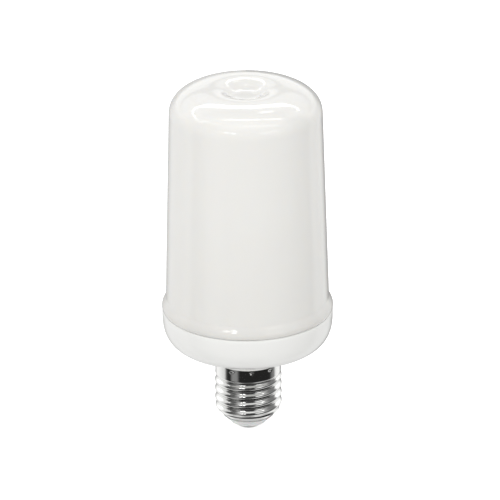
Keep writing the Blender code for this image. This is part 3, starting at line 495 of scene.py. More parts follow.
def cover_finish(cover):
    """Milky plastic: glossy, with light that spreads a little way under the surface. Its colour has painted
    shade: a little darker down the wall, and darker still where the rim stands over its own skirt."""
    finish = Finish("milky_cover")
    graph = finish.graph
    height = graph.parts(finish.place)["Z"]
    # Painted shade: these masks darken the colour over the skirt and down the lower wall in place of shading
    # from the light
    rim_shade = graph.step(height, cover.bottom, cover.flare_top + 0.003, 1.0, 0.0)
    wall_shade = graph.step(height, cover.flare_top, 0.115, 0.24, 0.0)
    shaded_tint = tuple(0.86 * part for part in cover.tint)
    finish.colour(graph.mix(graph.math("MAXIMUM", rim_shade, wall_shade), cover.tint, shaded_tint), 22.0, 0.02)
    finish.marks(0.05, 0.04, 0.000003, 700.0, 60.0)
    finish.set("IOR", 1.49)
    finish.set("Subsurface Weight", 0.35)
    finish.set("Subsurface Radius", (1.0, 0.9, 0.75))
    finish.set("Subsurface Scale", 0.002)
    return finish.material


def patterned_finish(name, roughness, pattern):
    """A finish whose pattern gives a colour, and a mask of what is bare metal."""
    finish = Finish(name)
    graph = finish.graph
    base, metal = pattern(graph, finish.place, graph.parts(finish.place))
    finish.marks(roughness, 0.12, 0.00001)
    if metal is not None:
        base = graph.mix(metal, base, TIN)
        finish.set("Metallic", metal)
    finish.colour(base, 150.0, 0.08)
    return finish.material


def light_board_finish(board):
    """White mask with the rows' copper showing faintly through it, and tinned pads at each light."""

    def pattern(graph, place, parts):
        turn = graph.math("ARCTAN2", parts["Y"], parts["X"])
        around = graph.math("WRAP", turn - (math.pi / 2.0 + board.seam / 2.0), FULL_TURN, 0.0)
        column = (FULL_TURN - board.seam) / board.columns
        in_column = graph.math("FRACT", around / column) - 0.5
        across = abs(in_column) * (column * board.radius)
        in_row = graph.math("FRACT", (parts["Z"] - board.lowest) / board.row_pitch + 0.5) - 0.5
        along = abs(in_row) * board.row_pitch
        pads = graph.step(across, 0.0010, 0.0011, 1.0, 0.0) * graph.band(along, 0.0017, 0.0022, 0.00005)
        row_copper = graph.band(along, 0.0029, 0.0034, 0.0001)
        side_copper = graph.band(across, 0.0040, 0.0044, 0.0001)
        copper = graph.math("MAXIMUM", row_copper, side_copper)
        return graph.mix(copper, board.mask, (0.80, 0.76, 0.66)), pads

    return patterned_finish("light_board", 0.35, pattern)


def driver_board_finish(driver):
    """Green mask over copper that runs one way or the other in each cell, and bare fibre edges."""

    def pattern(graph, place, parts):
        grid = {0: place, 1: (0.006, 1.0, 0.006)}
        cells = graph.take("ShaderNodeVectorMath", 0, grid, operation="SNAP")
        choice = graph.take("ShaderNodeTexWhiteNoise", "Value", {"Vector": cells})
        tracks = [graph.band(graph.math("FRACT", parts[axis] / 0.0015), 0.25, 0.75, 0.06) for axis in "XZ"]
        upright = tracks[0] * graph.math("GREATER_THAN", choice, 0.62)
        level = tracks[1] * graph.math("LESS_THAN", choice, 0.38)
        lighter = tuple(min(1.0, part * 1.7) for part in driver.mask)
        masked = graph.mix(graph.math("MAXIMUM", upright, level), driver.mask, lighter)
        edge = graph.step(abs(parts["X"]), 0.01440, 0.01445)
        return graph.mix(edge, masked, (0.55, 0.52, 0.33)), None

    return patterned_finish("driver_board", 0.3, pattern)


def chip_finish(name, offset):
    """Black epoxy with tinned legs. The offset gives how far outside the body a point is."""

    def pattern(graph, place, parts):
        grain = graph.noise(place, 2500.0, 2.0)
        body = graph.mix(grain, (0.020, 0.020, 0.021), (0.045, 0.045, 0.045))
        return body, graph.step(offset(graph, parts), 0.0, 0.00004)

    return patterned_finish(name, 0.42, pattern)


def beyond(axis, middle, half):
    """An offset for chip_finish: how far a point lies beyond the body's ends on one axis."""
    return lambda graph, parts: abs(parts[axis] - middle) - half


def beyond_on_core(radius, first, spacing, half):
    """The same for chips that stand round the core, each a turn of the spacing after the last."""

    def offset(graph, parts):
        turn = graph.math("ARCTAN2", parts["Y"], parts["X"])
        aside = graph.math("WRAP", turn - first, spacing / 2.0, -spacing / 2.0)
        return abs(aside) * radius - half

    return offset


def can_finish(node, sleeve):
    """A dark sleeve with a pale stripe down its minus side, open on a bare, scored can end."""
    low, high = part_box(node)
    middle = (low + high) / 2.0
    reach = (high.x - low.x) / 2.0

    def pattern(graph, place, parts):
        x = parts["X"] - middle.x
        z = parts["Z"] - middle.z
        away = graph.math("SQRT", x * x + z * z)
        end = graph.step(parts["Y"], low.y + 0.0002, low.y + 0.0003, 1.0, 0.0)
        end *= graph.step(away, reach * 0.80, reach * 0.82, 1.0, 0.0)
        scored = graph.step(graph.math("MINIMUM", abs(x), abs(z)), 0.0001, 0.0002, 0.6, 1.0)
        stripe = graph.step(x, 0.0, 0.0002) * graph.band(z, -0.0011, 0.0011, 0.0001)
        dash = graph.band(graph.math("FRACT", parts["Y"] / 0.003), 0.3, 0.7, 0.05)
        dash *= graph.band(z, -0.0003, 0.0003, 0.00005)
        pale = graph.mix(dash, (0.45, 0.46, 0.48), sleeve)
        return graph.mix(stripe, sleeve, pale), end * scored

    return patterned_finish(node, 0.35, pattern)


def resistor_finish():
    """A dipped resistor with its colour rings and tinned legs."""
    low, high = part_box("fuse_resistor")
    middle = (low.x + high.x) / 2.0
    body = (high.x - low.x) / 2.0 - 0.0016
    brown, black, gold = (0.25, 0.09, 0.03), (0.02, 0.02, 0.02), (0.62, 0.42, 0.10)

    def pattern(graph, place, parts):
        x = parts["X"] - middle
        base = (0.32, 0.45, 0.38)
        for share_of_half, ring in ((-0.70, brown), (-0.35, black), (0.0, black), (0.62, gold)):
            spot = body * share_of_half
            base = graph.mix(graph.band(x, spot - 0.0003, spot + 0.0003, 0.00005), base, ring)
        return base, graph.step(abs(x), body, body + 0.00005)

    return patterned_finish("fuse_resistor", 0.5, pattern)


# Mesh building

def lamp_object(name, mesh):
    """An object in the lamp's own collection."""
    if "lamp_looks" not in bpy.data.collections:
        bpy.context.scene.collection.children.link(bpy.data.collections.new("lamp_looks"))
    item = bpy.data.objects.new(name, mesh)
    bpy.data.collections["lamp_looks"].objects.link(item)
    return item


def add_piece(name, mesh, material=None):
    """A finished piece of the lamp: smooth, with crisp edges, riding on the lamp's body."""
    if material is not None:
        mesh.materials.clear()
        mesh.materials.append(material)
    mesh.shade_smooth()
    mesh.set_sharp_from_angle(angle=math.radians(40.0))
    item = lamp_object(name, mesh)
    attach(item, "root")
    return item


def outward_mesh(name, bm):
    """The mesh of a finished edit mesh, with its faces turned outwards."""
    bmesh.ops.recalc_face_normals(bm, faces=bm.faces)
    mesh = bpy.data.meshes.new(name)
    bm.to_mesh(mesh)
    bm.free()
    return mesh


def turned(name, outline, segments, closed=True):
    """A mesh turned about Z from (radius, height) points. A point on the axis is a pole."""
    bm = bmesh.new()
    rings = []
    turns = [FULL_TURN * i / segments for i in range(segments)]
    for radius, height in outline:
        if radius < 1e-7:
            rings.append([bm.verts.new((0.0, 0.0, height))])
        else:
            places = [(radius * math.cos(turn), radius * math.sin(turn), height) for turn in turns]
            rings.append([bm.verts.new(place) for place in places])
    pairs = list(zip(rings, rings[1:]))
    if closed:
        pairs.append((rings[-1], rings[0]))
    for upper, lower in pairs:
        if len(upper) == 1 and len(lower) == 1:
            continue
        for i in range(segments):
            after = (i + 1) % segments
            corners = [upper[i % len(upper)], lower[i % len(lower)]]
            corners += [lower[after % len(lower)], upper[after % len(upper)]]
            bm.faces.new(list(dict.fromkeys(corners)))
    return outward_mesh(name, bm)


def joined(name, meshes):
    """One mesh that holds several, each as a shell of its own."""
    bm = bmesh.new()
    for mesh in meshes:
        bm.from_mesh(mesh)
        bpy.data.meshes.remove(mesh)
    made = bpy.data.meshes.new(name)
    bm.to_mesh(made)
    bm.free()
    return made


def smooth_step(value):
    value = min(1.0, max(0.0, value))
    return value * value * (3.0 - 2.0 * value)


def corner(start, end, roundness, count, along_radius):
    """A quarter of a superellipse from start to end, both (radius, height), without its start.
    It leaves the start along the radius or along the height."""
    points = []
    for i in range(1, count + 1):
        turn = math.pi / 2.0 * i / count
        slow = 1.0 - math.cos(turn) ** (2.0 / roundness)
        fast = math.sin(turn) ** (2.0 / roundness)
        across, up = (fast, slow) if along_radius else (slow, fast)
        points.append((start[0] + (end[0] - start[0]) * across, start[1] + (end[1] - start[1]) * up))
    return points


def straight(start, end, count):
    """Points from start to end, without the start."""
    steps = [i / count for i in range(1, count + 1)]
    return [(start[0] + (end[0] - start[0]) * s, start[1] + (end[1] - start[1]) * s) for s in steps]


def modified_mesh(item):
    """The plain mesh that an object's modifiers make. The object goes."""
    bpy.context.view_layer.update()
    mesh = bpy.data.meshes.new_from_object(item.evaluated_get(bpy.context.evaluated_depsgraph_get()))
    bpy.data.objects.remove(item, do_unlink=True)
    return mesh


def from_nodes(name, tree, inputs, start=None):
    """The plain mesh that a Geometry Nodes tree makes with these inputs."""
    item = lamp_object(name, start or bpy.data.meshes.new(name))
    modifier = item.modifiers.new("nodes", "NODES")
    modifier.node_group = tree
    for socket in tree.interface.items_tree:
        if socket.item_type == "SOCKET" and socket.in_out == "INPUT" and socket.name in inputs:
            modifier[socket.identifier] = inputs[socket.name]
    item.update_tag()
    mesh = modified_mesh(item)
    if not mesh.polygons:
        raise RuntimeError(f"{name}: its nodes made no faces")
    return mesh


def finish_tree(graph, geometry, material):
    """Ends a tree in plain faces with their material."""
    real = graph.take("GeometryNodeRealizeInstances", 0, {"Geometry": geometry})
    coated = graph.take("GeometryNodeSetMaterial", 0, {"Geometry": real, "Material": material})
    graph.add("NodeGroupOutput", {"Geometry": coated})
    return graph.tree


# Cover

def crown(cover, inset, level_steps, round_steps):
    """From the dish's middle to the shoulder, this far inside the cover's outer face."""
    middle = (0.0, cover.top - inset)
    level_edge = (cover.flat_radius, cover.top - inset)
    shoulder = (cover.shoulder_radius - inset, cover.shoulder_height)
    dome = [middle, *straight(middle, level_edge, level_steps)]
    dome += corner(level_edge, shoulder, cover.roundness, round_steps, True)
    outline = []
    for radius, height in dome:
        drop = cover.dish_depth / (1.0 + (radius / cover.dish_radius) ** cover.dish_sharpness)
        outline.append((radius, height - drop))
    return outline


def cover_outline(cover):
    """Down the outside of the cover from the dish's middle, round its skirt and up inside."""
    foot = (cover.foot_radius, cover.flare_top)
    outline = crown(cover, 0.0, 32, 96)
    outline += straight((cover.shoulder_radius, cover.shoulder_height), foot, 24)
    for i in range(1, 17):
        radius = cover.foot_radius + (cover.rim_radius - cover.foot_radius) * smooth_step(i / 16.0)
        outline.append((radius, cover.flare_top - cover.flare_height * i / 16.0))
    edge_start = (cover.rim_radius, cover.bottom + cover.edge)
    edge_end = (cover.rim_radius - cover.edge, cover.bottom)
    outline += [edge_start, *corner(edge_start, edge_end, 2.0, 4, False)]
    skirt_foot = cover.bottom - cover.skirt_length
    outline += [
        (cover.skirt_radius, cover.bottom),
        (cover.skirt_radius, skirt_foot),
        (cover.skirt_radius - cover.wall, skirt_foot),
        (cover.foot_radius - cover.wall, cover.flare_top),
        (cover.shoulder_radius - cover.wall, cover.shoulder_height),
    ]
    return outline + crown(cover, cover.wall, 16, 32)[-2::-1]


class FLAMELAMP_OT_cover(Operator):
    """Makes the frosted cover with its dished crown, flared rim and skirt"""

    bl_idname = "flamelamp.make_cover"
    bl_label = "Make the cover"

    def execute(self, context):
        cover = context.scene.flame_lamp.cover
        mesh = turned("frosted_cover", cover_outline(cover), 160, closed=False)
        piece = add_piece("frosted_cover", mesh, cover_finish(cover))
        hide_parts("diffuser")
        return {"FINISHED"}


# Cup

def cup_outline(cup):
    """Down the outside of the cup to the neck's tip, and back up its inside."""
    inner_floor = cup.bottom + cup.floor
    inner_wall = cup.radius - cup.wall
    seam_edge = (cup.radius - cup.edge, cup.seam)
    side_top = (cup.radius, cup.seam - cup.edge)
    fillet_top = (cup.neck_radius + cup.neck_fillet, cup.bottom)
    fillet_foot = (cup.neck_radius, cup.bottom - cup.neck_fillet)
    outline = [seam_edge, *corner(seam_edge, side_top, 2.0, 4, True)]
    outline += corner(side_top, fillet_top, cup.roundness, 56, False)
    outline += corner(fillet_top, fillet_foot, 2.0, 8, True)
    outline += [
        (cup.neck_radius, cup.neck_bottom),
        (cup.seat_radius, cup.neck_bottom),
        (cup.seat_radius, cup.groove_top),
        (cup.groove_radius, cup.groove_top),
        (cup.groove_radius, cup.groove_top - cup.groove_width),
        (cup.seat_radius, cup.groove_top - cup.groove_width),
        (cup.seat_radius, cup.seat_bottom),
        (cup.thread_seat, cup.seat_bottom - cup.wall),
        (cup.thread_seat, cup.tip),
        (cup.bore, cup.tip),
        (cup.bore, inner_floor),
        (cup.neck_radius, inner_floor),
    ]
    inner = (inner_wall, cup.seam - cup.skirt_room)
    outline += corner(inner, (cup.neck_radius, inner_floor), cup.roundness, 20, False)[-2::-1]
    return [*outline, inner, (inner_wall, cup.seam)]


def boss(cup, turn):
    """A screw boss: a bored post whose foot is sunk in the cup's floor."""
    foot = cup.bottom + 1.1 * cup.floor
    outline = [
        (cup.boss_radius, cup.boss_top),
        (cup.boss_radius, foot),
        (cup.boss_bore, foot),
        (cup.boss_bore, cup.boss_top),
    ]
    mesh = turned("boss", outline, 32)
    mesh.transform(Matrix.Rotation(turn, 4, "Z") @ Matrix.Translation((cup.boss_circle, 0.0, 0.0)))
    return mesh


class FLAMELAMP_OT_cup(Operator):
    """Makes the white cup with its neck and its three screw bosses"""

    bl_idname = "flamelamp.make_cup"
    bl_label = "Make the cup"

    def execute(self, context):
        cup = context.scene.flame_lamp.cup
        bosses = [boss(cup, math.radians(turn)) for turn in (30.0, 150.0, 270.0)]
        mesh = joined("white_cup", [turned("cup", cup_outline(cup), 160), *bosses])
        piece = add_piece("white_cup", mesh, cup_finish(cup))
        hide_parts("base_cup")
        return {"FINISHED"}


# Screw cap

SHELL_MEASURES = (
    "Crest Radius", "Root Radius", "Pitch", "Left Crest", "Thread Bottom", "Runout", "Collar Radius",
    "Collar Bottom", "Top", "Foot Radius", "Foot Height", "Punch Depth", "Punch Size", "Punch Height",
    "Punch Angle",
)


def shell_tree():
    """A sheet rolled into the cap's shell. Each point's radius follows from its height and its
    turn: a cone, the helix of the thread, and a plain collar with a ring of punch marks."""
    inputs = [(name, "Float", 0.0) for name in SHELL_MEASURES]
    inputs += [
        ("Punch Count", "Int", 10),
        ("Steps Round", "Int", 145),
        ("Steps Up", "Int", 114),
        ("Material", "Material", None),
    ]
    graph, given = new_group("rolled_shell", "GeometryNodeTree", inputs, SHAPE_OUT)
    steps = {"Vertices X": given["Steps Round"], "Vertices Y": given["Steps Up"]}
    grid = graph.take("GeometryNodeMeshGrid", 0, {"Size X": 1.0, "Size Y": 1.0, **steps})
    flat = graph.parts(graph.take("GeometryNodeInputPosition", 0))
    turns = flat["X"] + 0.5
    turn = turns * FULL_TURN
    height = (flat["Y"] + 0.5) * (given["Top"] - given["Foot Height"]) + given["Foot Height"]

    up = {"Value": height, "From Min": given["Foot Height"], "From Max": given["Thread Bottom"]}
    out = {"To Min": given["Foot Radius"], "To Max": given["Root Radius"]}
    cone = graph.take("ShaderNodeMapRange", "Result", {**up, **out})
    thread_top = given["Collar Bottom"] - given["Runout"]
    in_collar = graph.math("GREATER_THAN", height, thread_top)
    plain = (given["Collar Radius"] - cone) * in_collar + cone

    phase = (height - given["Left Crest"]) / given["Pitch"] - turns + 0.5
    wave = graph.math("COSINE", phase * FULL_TURN) * 0.5 + 0.5
    threaded = wave * (given["Crest Radius"] - given["Root Radius"]) + given["Root Radius"]
    fade_in = graph.step(height, given["Thread Bottom"], given["Thread Bottom"] + given["Runout"])
    fade_out = graph.step(height, thread_top, given["Collar Bottom"], 1.0, 0.0)
    radius = (threaded - plain) * (fade_in * fade_out) + plain

    half_gap = math.pi / given["Punch Count"]
    off = graph.math("WRAP", turn - given["Punch Angle"], half_gap, half_gap * -1.0)
    across = off * given["Collar Radius"]
    above = height - given["Punch Height"]
    away = graph.math("SQRT", across * across + above * above)
    radius -= graph.step(away, 0.0, given["Punch Size"], given["Punch Depth"], 0.0)

    rolled = {"Geometry": grid, "Position": graph.round_z(radius, turn, height)}
    shape = graph.take("GeometryNodeSetPosition", 0, rolled)
    merged = graph.take("GeometryNodeMergeByDistance", 0, {"Geometry": shape, "Distance": 0.00001})
    return finish_tree(graph, merged, given["Material"])


def walled(name, mesh, wall):
    """The mesh with a wall of this thickness grown inwards from it."""
    item = lamp_object(name, mesh)
    solid = item.modifiers.new("wall", "SOLIDIFY")
    solid.thickness = wall
    solid.offset = -1.0
    return modified_mesh(item)


class FLAMELAMP_OT_shell(Operator):
    """Makes the rolled metal shell of the screw cap"""

    bl_idname = "flamelamp.make_shell"
    bl_label = "Make the screw shell"

    def execute(self, context):
        cap = context.scene.flame_lamp.cap
        inputs = from_settings(cap, (*SHELL_MEASURES, "Punch Count"))
        inputs["Material"] = nickel_finish(cap)
        sheet = from_nodes("rolled_sheet", shell_tree(), inputs)
        piece = add_piece("rolled_screw_shell", walled("rolled_screw_shell", sheet, cap.wall))
        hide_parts("screw_shell")
        return {"FINISHED"}


class FLAMELAMP_OT_cap_end(Operator):
    """Makes the insulator in the shell's foot and the contact button"""

    bl_idname = "flamelamp.make_cap_end"
    bl_label = "Make the insulator and contact"

    def execute(self, context):
        cap = context.scene.flame_lamp.cap
        slope = (cap.root_radius - cap.foot_radius) / (cap.thread_bottom - cap.foot_height)
        seat = cap.foot_radius - cap.wall * math.hypot(1.0, slope) - GAP
        below = cap.foot_height - GAP
        hole = cap.stem_radius + GAP
        face = cap.contact_edge + GAP
        shoulder = (cap.foot_radius, below)
        rim = (cap.rim_radius, cap.rim_height)
        outline = [
            (seat + slope * (cap.washer_top - cap.foot_height), cap.washer_top),
            (seat, cap.foot_height),
            (seat, below),
            shoulder,
        ]
        outline += straight(shoulder, rim, 6)
        outline += corner(rim, (cap.contact_radius, face), 2.0, 8, False)
        outline += [(hole, face), (hole, cap.washer_top)]
        washer = add_piece("cap_washer", turned("cap_washer", outline, 96), insulator_finish(cap))
        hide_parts("cap_insulator")

        bore = cap.stem_radius / 2.0
        bore_floor = cap.stem_top * 0.55
        edge = (cap.contact_radius, cap.contact_edge)
        outline = [(0.0, bore_floor), (bore, bore_floor), (bore, cap.stem_top)]
        outline += [(cap.stem_radius, cap.stem_top), (cap.stem_radius, cap.contact_edge), edge]
        outline += [*corner(edge, (cap.contact_face, 0.0), 2.0, 10, False), (0.0, 0.0)]
        mesh = turned("contact_button", outline, 64, closed=False)
        tinned = plain_finish("tinned_contact", (0.84, 0.84, 0.82), 0.42, 1.0)
        button = add_piece("contact_button", mesh, tinned)
        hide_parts("centre_contact")
        return {"FINISHED"}


# Light board

def window_plate(board):
    """One light's window: a small rounded plate, sunk a little into its package."""
    bm = bmesh.new()
    sides = 16
    width, reach, rise = board.window_width / 2.0, board.window_length / 2.0, board.window_rise
    rings = []
    for narrowing, height in ((1.0, -rise / 2.0), (1.0, rise * 0.6), (0.94, rise)):
        ring = []
        for i in range(sides):
            turn = FULL_TURN * (i + 0.5) / sides
            across, along = math.cos(turn), math.sin(turn)
            x = math.copysign(abs(across) ** 0.4, across) * width * narrowing
            y = math.copysign(abs(along) ** 0.4, along) * reach * narrowing
            ring.append(bm.verts.new((x, y, height)))
        rings.append(ring)
    for lower, upper in zip(rings, rings[1:]):
        for i in range(sides):
            after = (i + 1) % sides
            bm.faces.new((lower[i], lower[after], upper[after], upper[i]))
    bm.faces.new(rings[0])
    bm.faces.new(rings[-1])
    return outward_mesh("window_plate", bm)


def round_the_axis(graph, shape, count, turn, radius, height, tilt):
    """Copies of a shape at points round Z, each tilted and then turned to its own place."""
    where = {"Count": count, "Position": graph.round_z(radius, turn, height)}
    points = graph.take("GeometryNodePoints", 0, where)
    facing = graph.take("ShaderNodeCombineXYZ", 0, {"X": tilt, "Z": turn + QUARTER_TURN})
    rotation = graph.take("FunctionNodeEulerToRotation", 0, {0: facing})
    inputs = {"Points": points, "Instance": shape, "Rotation": rotation}
    return graph.take("GeometryNodeInstanceOnPoints", 0, inputs)


def windows_tree():
    """The given window, in columns and rows round the core and in a ring on the tab over it."""
    inputs = [("Geometry", "Geometry", None)]
    inputs += [(name, "Int", 1) for name in ("Columns", "Rows", "Tab Lights")]
    measures = ("Radius", "Seam", "Lowest", "Row Pitch", "Tab Radius", "Tab Height")
    inputs += [(name, "Float", 0.0) for name in measures]
    inputs += [("Material", "Material", None)]
    graph, given = new_group("light_windows", "GeometryNodeTree", inputs, SHAPE_OUT)
    window = given["Geometry"]
    index = graph.take("GeometryNodeInputIndex", 0)

    column = graph.math("FLOOR", index / given["Rows"])
    row = graph.math("FLOORED_MODULO", index, given["Rows"])
    passed = (column + 0.5) / given["Columns"]
    start = given["Seam"] * 0.5 + QUARTER_TURN
    turn = passed * (given["Seam"] * -1.0 + FULL_TURN) + start
    height = row * given["Row Pitch"] + given["Lowest"]
    count = given["Columns"] * given["Rows"]
    wall = round_the_axis(graph, window, count, turn, given["Radius"], height, QUARTER_TURN)

    turn = index * (FULL_TURN / given["Tab Lights"]) + QUARTER_TURN
    count = given["Tab Lights"]
    tab = round_the_axis(graph, window, count, turn, given["Tab Radius"], given["Tab Height"], 0.0)
    both = graph.add("GeometryNodeJoinGeometry", {0: wall})
    graph.feed(both.inputs[0], tab)
    return finish_tree(graph, graph.named(both)["Geometry"], given["Material"])


class FLAMELAMP_OT_windows(Operator):
    """Makes the yellow windows of all the lights on the light board"""

    bl_idname = "flamelamp.make_windows"
    bl_label = "Make the light windows"

    def execute(self, context):
        board = context.scene.flame_lamp.board
        same_names = ("Columns", "Rows", "Radius", "Seam", "Lowest", "Row Pitch", "Tab Lights", "Tab Radius")
        inputs = from_settings(board, same_names)
        inputs["Tab Height"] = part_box("flex_led_board")[1].z
        inputs["Material"] = phosphor_finish(board)
        mesh = from_nodes("light_windows", windows_tree(), inputs, window_plate(board))
        piece = add_piece("light_windows", mesh)
        return {"FINISHED"}


# Driver board

def coil_tree():
    """One layer of wire wound round an axis that lies along Y."""
    inputs = [("Turns", "Float", 10.0)]
    inputs += [(name, "Float", 0.0) for name in ("Radius", "Length", "Wire Radius")]
    inputs += [("Start", "Vector", None), ("Material", "Material", None)]
    graph, given = new_group("coil", "GeometryNodeTree", inputs, SHAPE_OUT)
    path = {"Resolution": 40, "Rotations": given["Turns"], "Height": given["Length"]}
    path.update({"Start Radius": given["Radius"], "End Radius": given["Radius"]})
    spiral = graph.take("GeometryNodeCurveSpiral", 0, path)
    circle = {"Resolution": 8, "Radius": given["Wire Radius"]}
    profile = graph.take("GeometryNodeCurvePrimitiveCircle", 0, circle)
    swept = {"Curve": spiral, "Profile Curve": profile, "Fill Caps": True}
    wire = graph.take("GeometryNodeCurveToMesh", 0, swept)
    lying = {"Geometry": wire, "Translation": given["Start"], "Rotation": (QUARTER_TURN, 0.0, 0.0)}
    return finish_tree(graph, graph.take("GeometryNodeTransform", 0, lying), given["Material"])


class FLAMELAMP_OT_coil(Operator):
    """Makes the inductor's winding: inner layers, and an outer layer of single turns"""

    bl_idname = "flamelamp.make_coil"
    bl_label = "Make the coil"

    def execute(self, context):
        driver = context.scene.flame_lamp.driver
        low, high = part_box("inductor_winding")
        middle = (low + high) / 2.0
        outside = (high.x - low.x) / 2.0
        wire = driver.wire_radius
        finish = coil_finish(driver)
        inputs = {
            "Turns": float(driver.winding_turns),
            "Radius": outside - wire,
            "Length": high.y - low.y - 2.0 * wire,
            "Wire Radius": wire,
            "Start": (middle.x, high.y - wire, middle.z),
            "Material": finish,
        }
        layer = from_nodes("outer_layer", coil_tree(), inputs)
        inner, outer = driver.drum_radius + GAP, outside - 1.6 * wire
        outline = [(inner, low.y), (outer, low.y), (outer, high.y), (inner, high.y)]
        under = turned("inner_layers", outline, 64)
        lying = Matrix.Rotation(-QUARTER_TURN, 4, "X")
        under.transform(Matrix.Translation((middle.x, 0.0, middle.z)) @ lying)
        piece = add_piece("coil", joined("coil", [layer, under]), finish)
        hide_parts("inductor_winding")
        return {"FINISHED"}


def joints_tree():
    """A flattened drop of solder on each point that it is given."""
    inputs = [("Geometry", "Geometry", None), ("Radius", "Float", 0.0), ("Material", "Material", None)]
    graph, given = new_group("solder_joints", "GeometryNodeTree", inputs, SHAPE_OUT)
    ball = {"Segments": 14, "Rings": 8, "Radius": given["Radius"]}
    drop = {"Geometry": graph.take("GeometryNodeMeshUVSphere", 0, ball), "Scale": (1.0, 0.6, 1.0)}
    placed = {"Points": given["Geometry"], "Instance": graph.take("GeometryNodeTransform", 0, drop)}
    return finish_tree(graph, graph.take("GeometryNodeInstanceOnPoints", 0, placed), given["Material"])


class FLAMELAMP_OT_joints(Operator):
    """Makes the solder joints on the back of the driver board, behind each wired part"""

    bl_idname = "flamelamp.make_joints"
    bl_label = "Make the solder joints"

    def execute(self, context):
        driver = context.scene.flame_lamp.driver
        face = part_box("driver_board")[1].y
        places = []
        for node in ("input_capacitor", "output_capacitor", "inductor_core"):
            low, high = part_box(node)
            middle = (low + high) / 2.0
            places += [(middle.x + side * driver.pin_pitch / 2.0, face, middle.z) for side in (-1.0, 1.0)]
        low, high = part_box("fuse_resistor")
        leg = 0.0004
        places += [(x, face, (low.z + high.z) / 2.0) for x in (low.x + leg, high.x - leg)]
        start = bpy.data.meshes.new("joint_places")
        start.from_pydata(places, [], [])
        inputs = {"Radius": driver.joint_radius, "Material": plain_finish("solder", TIN, 0.22, 1.0)}
        piece = add_piece("solder_joints", from_nodes("solder_joints", joints_tree(), inputs, start))
        return {"FINISHED"}


def coat(finish, *nodes):
    """Gives carried-over pieces of the frame a finish."""
    for node in nodes:
        slots = bpy.data.objects[node].data.materials
        slots.clear()
        slots.append(finish)


class FLAMELAMP_OT_inner_finishes(Operator):
    """Gives the core, the boards, the parts on them, the screws and the leads their finishes"""

    bl_idname = "flamelamp.finish_inside"
    bl_label = "Finish the inner pieces"

    def execute(self, context):
        lamp = context.scene.flame_lamp
        coat(plain_finish("core_plastic", (0.82, 0.82, 0.80), 0.38), "led_core")
        screws = [f"flange_screw_{number}" for number in (1, 2, 3)]
        coat(plain_finish("zinc_plate", (0.62, 0.62, 0.60), 0.3, 1.0), *screws)
        coat(light_board_finish(lamp.board), "flex_led_board")
        coat(driver_board_finish(lamp.driver), "driver_board")

        chips = (
            ("bridge_rectifier", "bridge_rectifier", 0.00197),
            ("buck_chip", "buck_chip", 0.00197),
            ("diode", "freewheel_diode", 0.00132),
        )
        for name, node, half in chips:
            low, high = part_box(node)
            coat(chip_finish(name, beyond("Z", (low.z + high.z) / 2.0, half)), node)
        coat(chip_finish("flame_controller", beyond("Y", 0.0, 0.00197)), "flame_controller_chip")
        row_chips = [f"row_transistor_{number}" for number in range(1, 9)]
        around = beyond_on_core(lamp.board.radius, math.radians(215.0), math.radians(20.0), 0.00077)
        coat(chip_finish("row_chip", around), *row_chips)

        for node in ("input_capacitor", "output_capacitor"):
            coat(can_finish(node, lamp.driver.sleeve), node)
        coat(plain_finish("ferrite", (0.09, 0.09, 0.10), 0.6, 0.0, 0.00003, 0.15), "inductor_core")
        coat(resistor_finish(), "fuse_resistor")
        coat(plain_finish("red_insulation", (0.60, 0.05, 0.04), 0.42), "live_lead", "led_lead_positive")
        coat(plain_finish("black_insulation", (0.04, 0.04, 0.04), 0.42), "neutral_lead", "led_lead_negative")
        return {"FINISHED"}


# Studio

# The tent's darker and lighter parts, each over the ones before it: left, right, lower and upper
# edge and softness in degrees from the camera's side, and strength
TENT_PANELS = (
    (-400.0, -150.0, -40.0, 8.0, 10.0, 0.55),
    (150.0, 400.0, -40.0, 8.0, 10.0, 0.25),
    (-400.0, -140.0, -95.0, -50.0, 14.0, 0.66),
    (140.0, 400.0, -95.0, -50.0, 14.0, 0.66),
    (-400.0, -110.0, 8.0, 100.0, 8.0, 1.70),
    (110.0, 400.0, 8.0, 100.0, 8.0, 1.70),
    (-400.0, 400.0, 52.0, 100.0, 6.0, 1.10),
    (-86.0, 106.0, -60.0, 46.0, 6.0, 0.42),
    (-86.0, -48.0, -60.0, 46.0, 8.0, 0.12),
    (72.0, 106.0, -40.0, 46.0, 8.0, 0.22),
    (-28.0, 26.0, -38.0, 46.0, 6.0, 0.06),
    (-36.0, 36.0, -88.0, -36.0, 8.0, 0.14),
    (-82.0, 88.0, -36.0, 0.0, 8.0, 0.02),
    (-62.0, -36.0, -27.0, -5.0, 6.0, 0.30),
    (-400.0, -120.0, 21.0, 24.5, 2.0, 1.00),
    (120.0, 400.0, 21.0, 24.5, 2.0, 1.00),
    (22.0, 50.0, 16.0, 26.0, 4.0, 2.2),
    (-100.0, -82.0, 37.0, 42.0, 4.0, 3.2),
)

# Lights overhead: left, right, front and back edge on a ceiling one unit up, and strength
CEILING_LIGHTS = (
    (-0.32, 0.62, 0.05, 0.16, 5.0),
    (-0.05, 0.90, -0.56, -0.38, 2.4),
    (0.12, 0.25, 0.58, 0.74, 5.0),
    (-1.30, -0.70, -0.07, 0.04, 3.0),
)

# Bright cards before the crown: azimuth and elevation from it in degrees, width, height and power
CARDS = ((-29.5, 23.5, 0.10, 0.055, 0.10), (-18.5, 21.0, 0.07, 0.070, 0.11))
CARD_DISTANCE = 0.6

KEY_PLACE = (-0.12, -0.95, 0.50)
KEY_SIZE = 0.9
BRIGHTEST_WAY = (-0.15, -0.62, 0.77)
FLOOR_HALF = 4.0
FLOOR_COLOUR = (0.76, 0.76, 0.76, 1.0)
FLOOR_GLOW = 0.72


def grey(strength):
    """A colour without hue, of this strength."""
    return (strength, strength, strength)


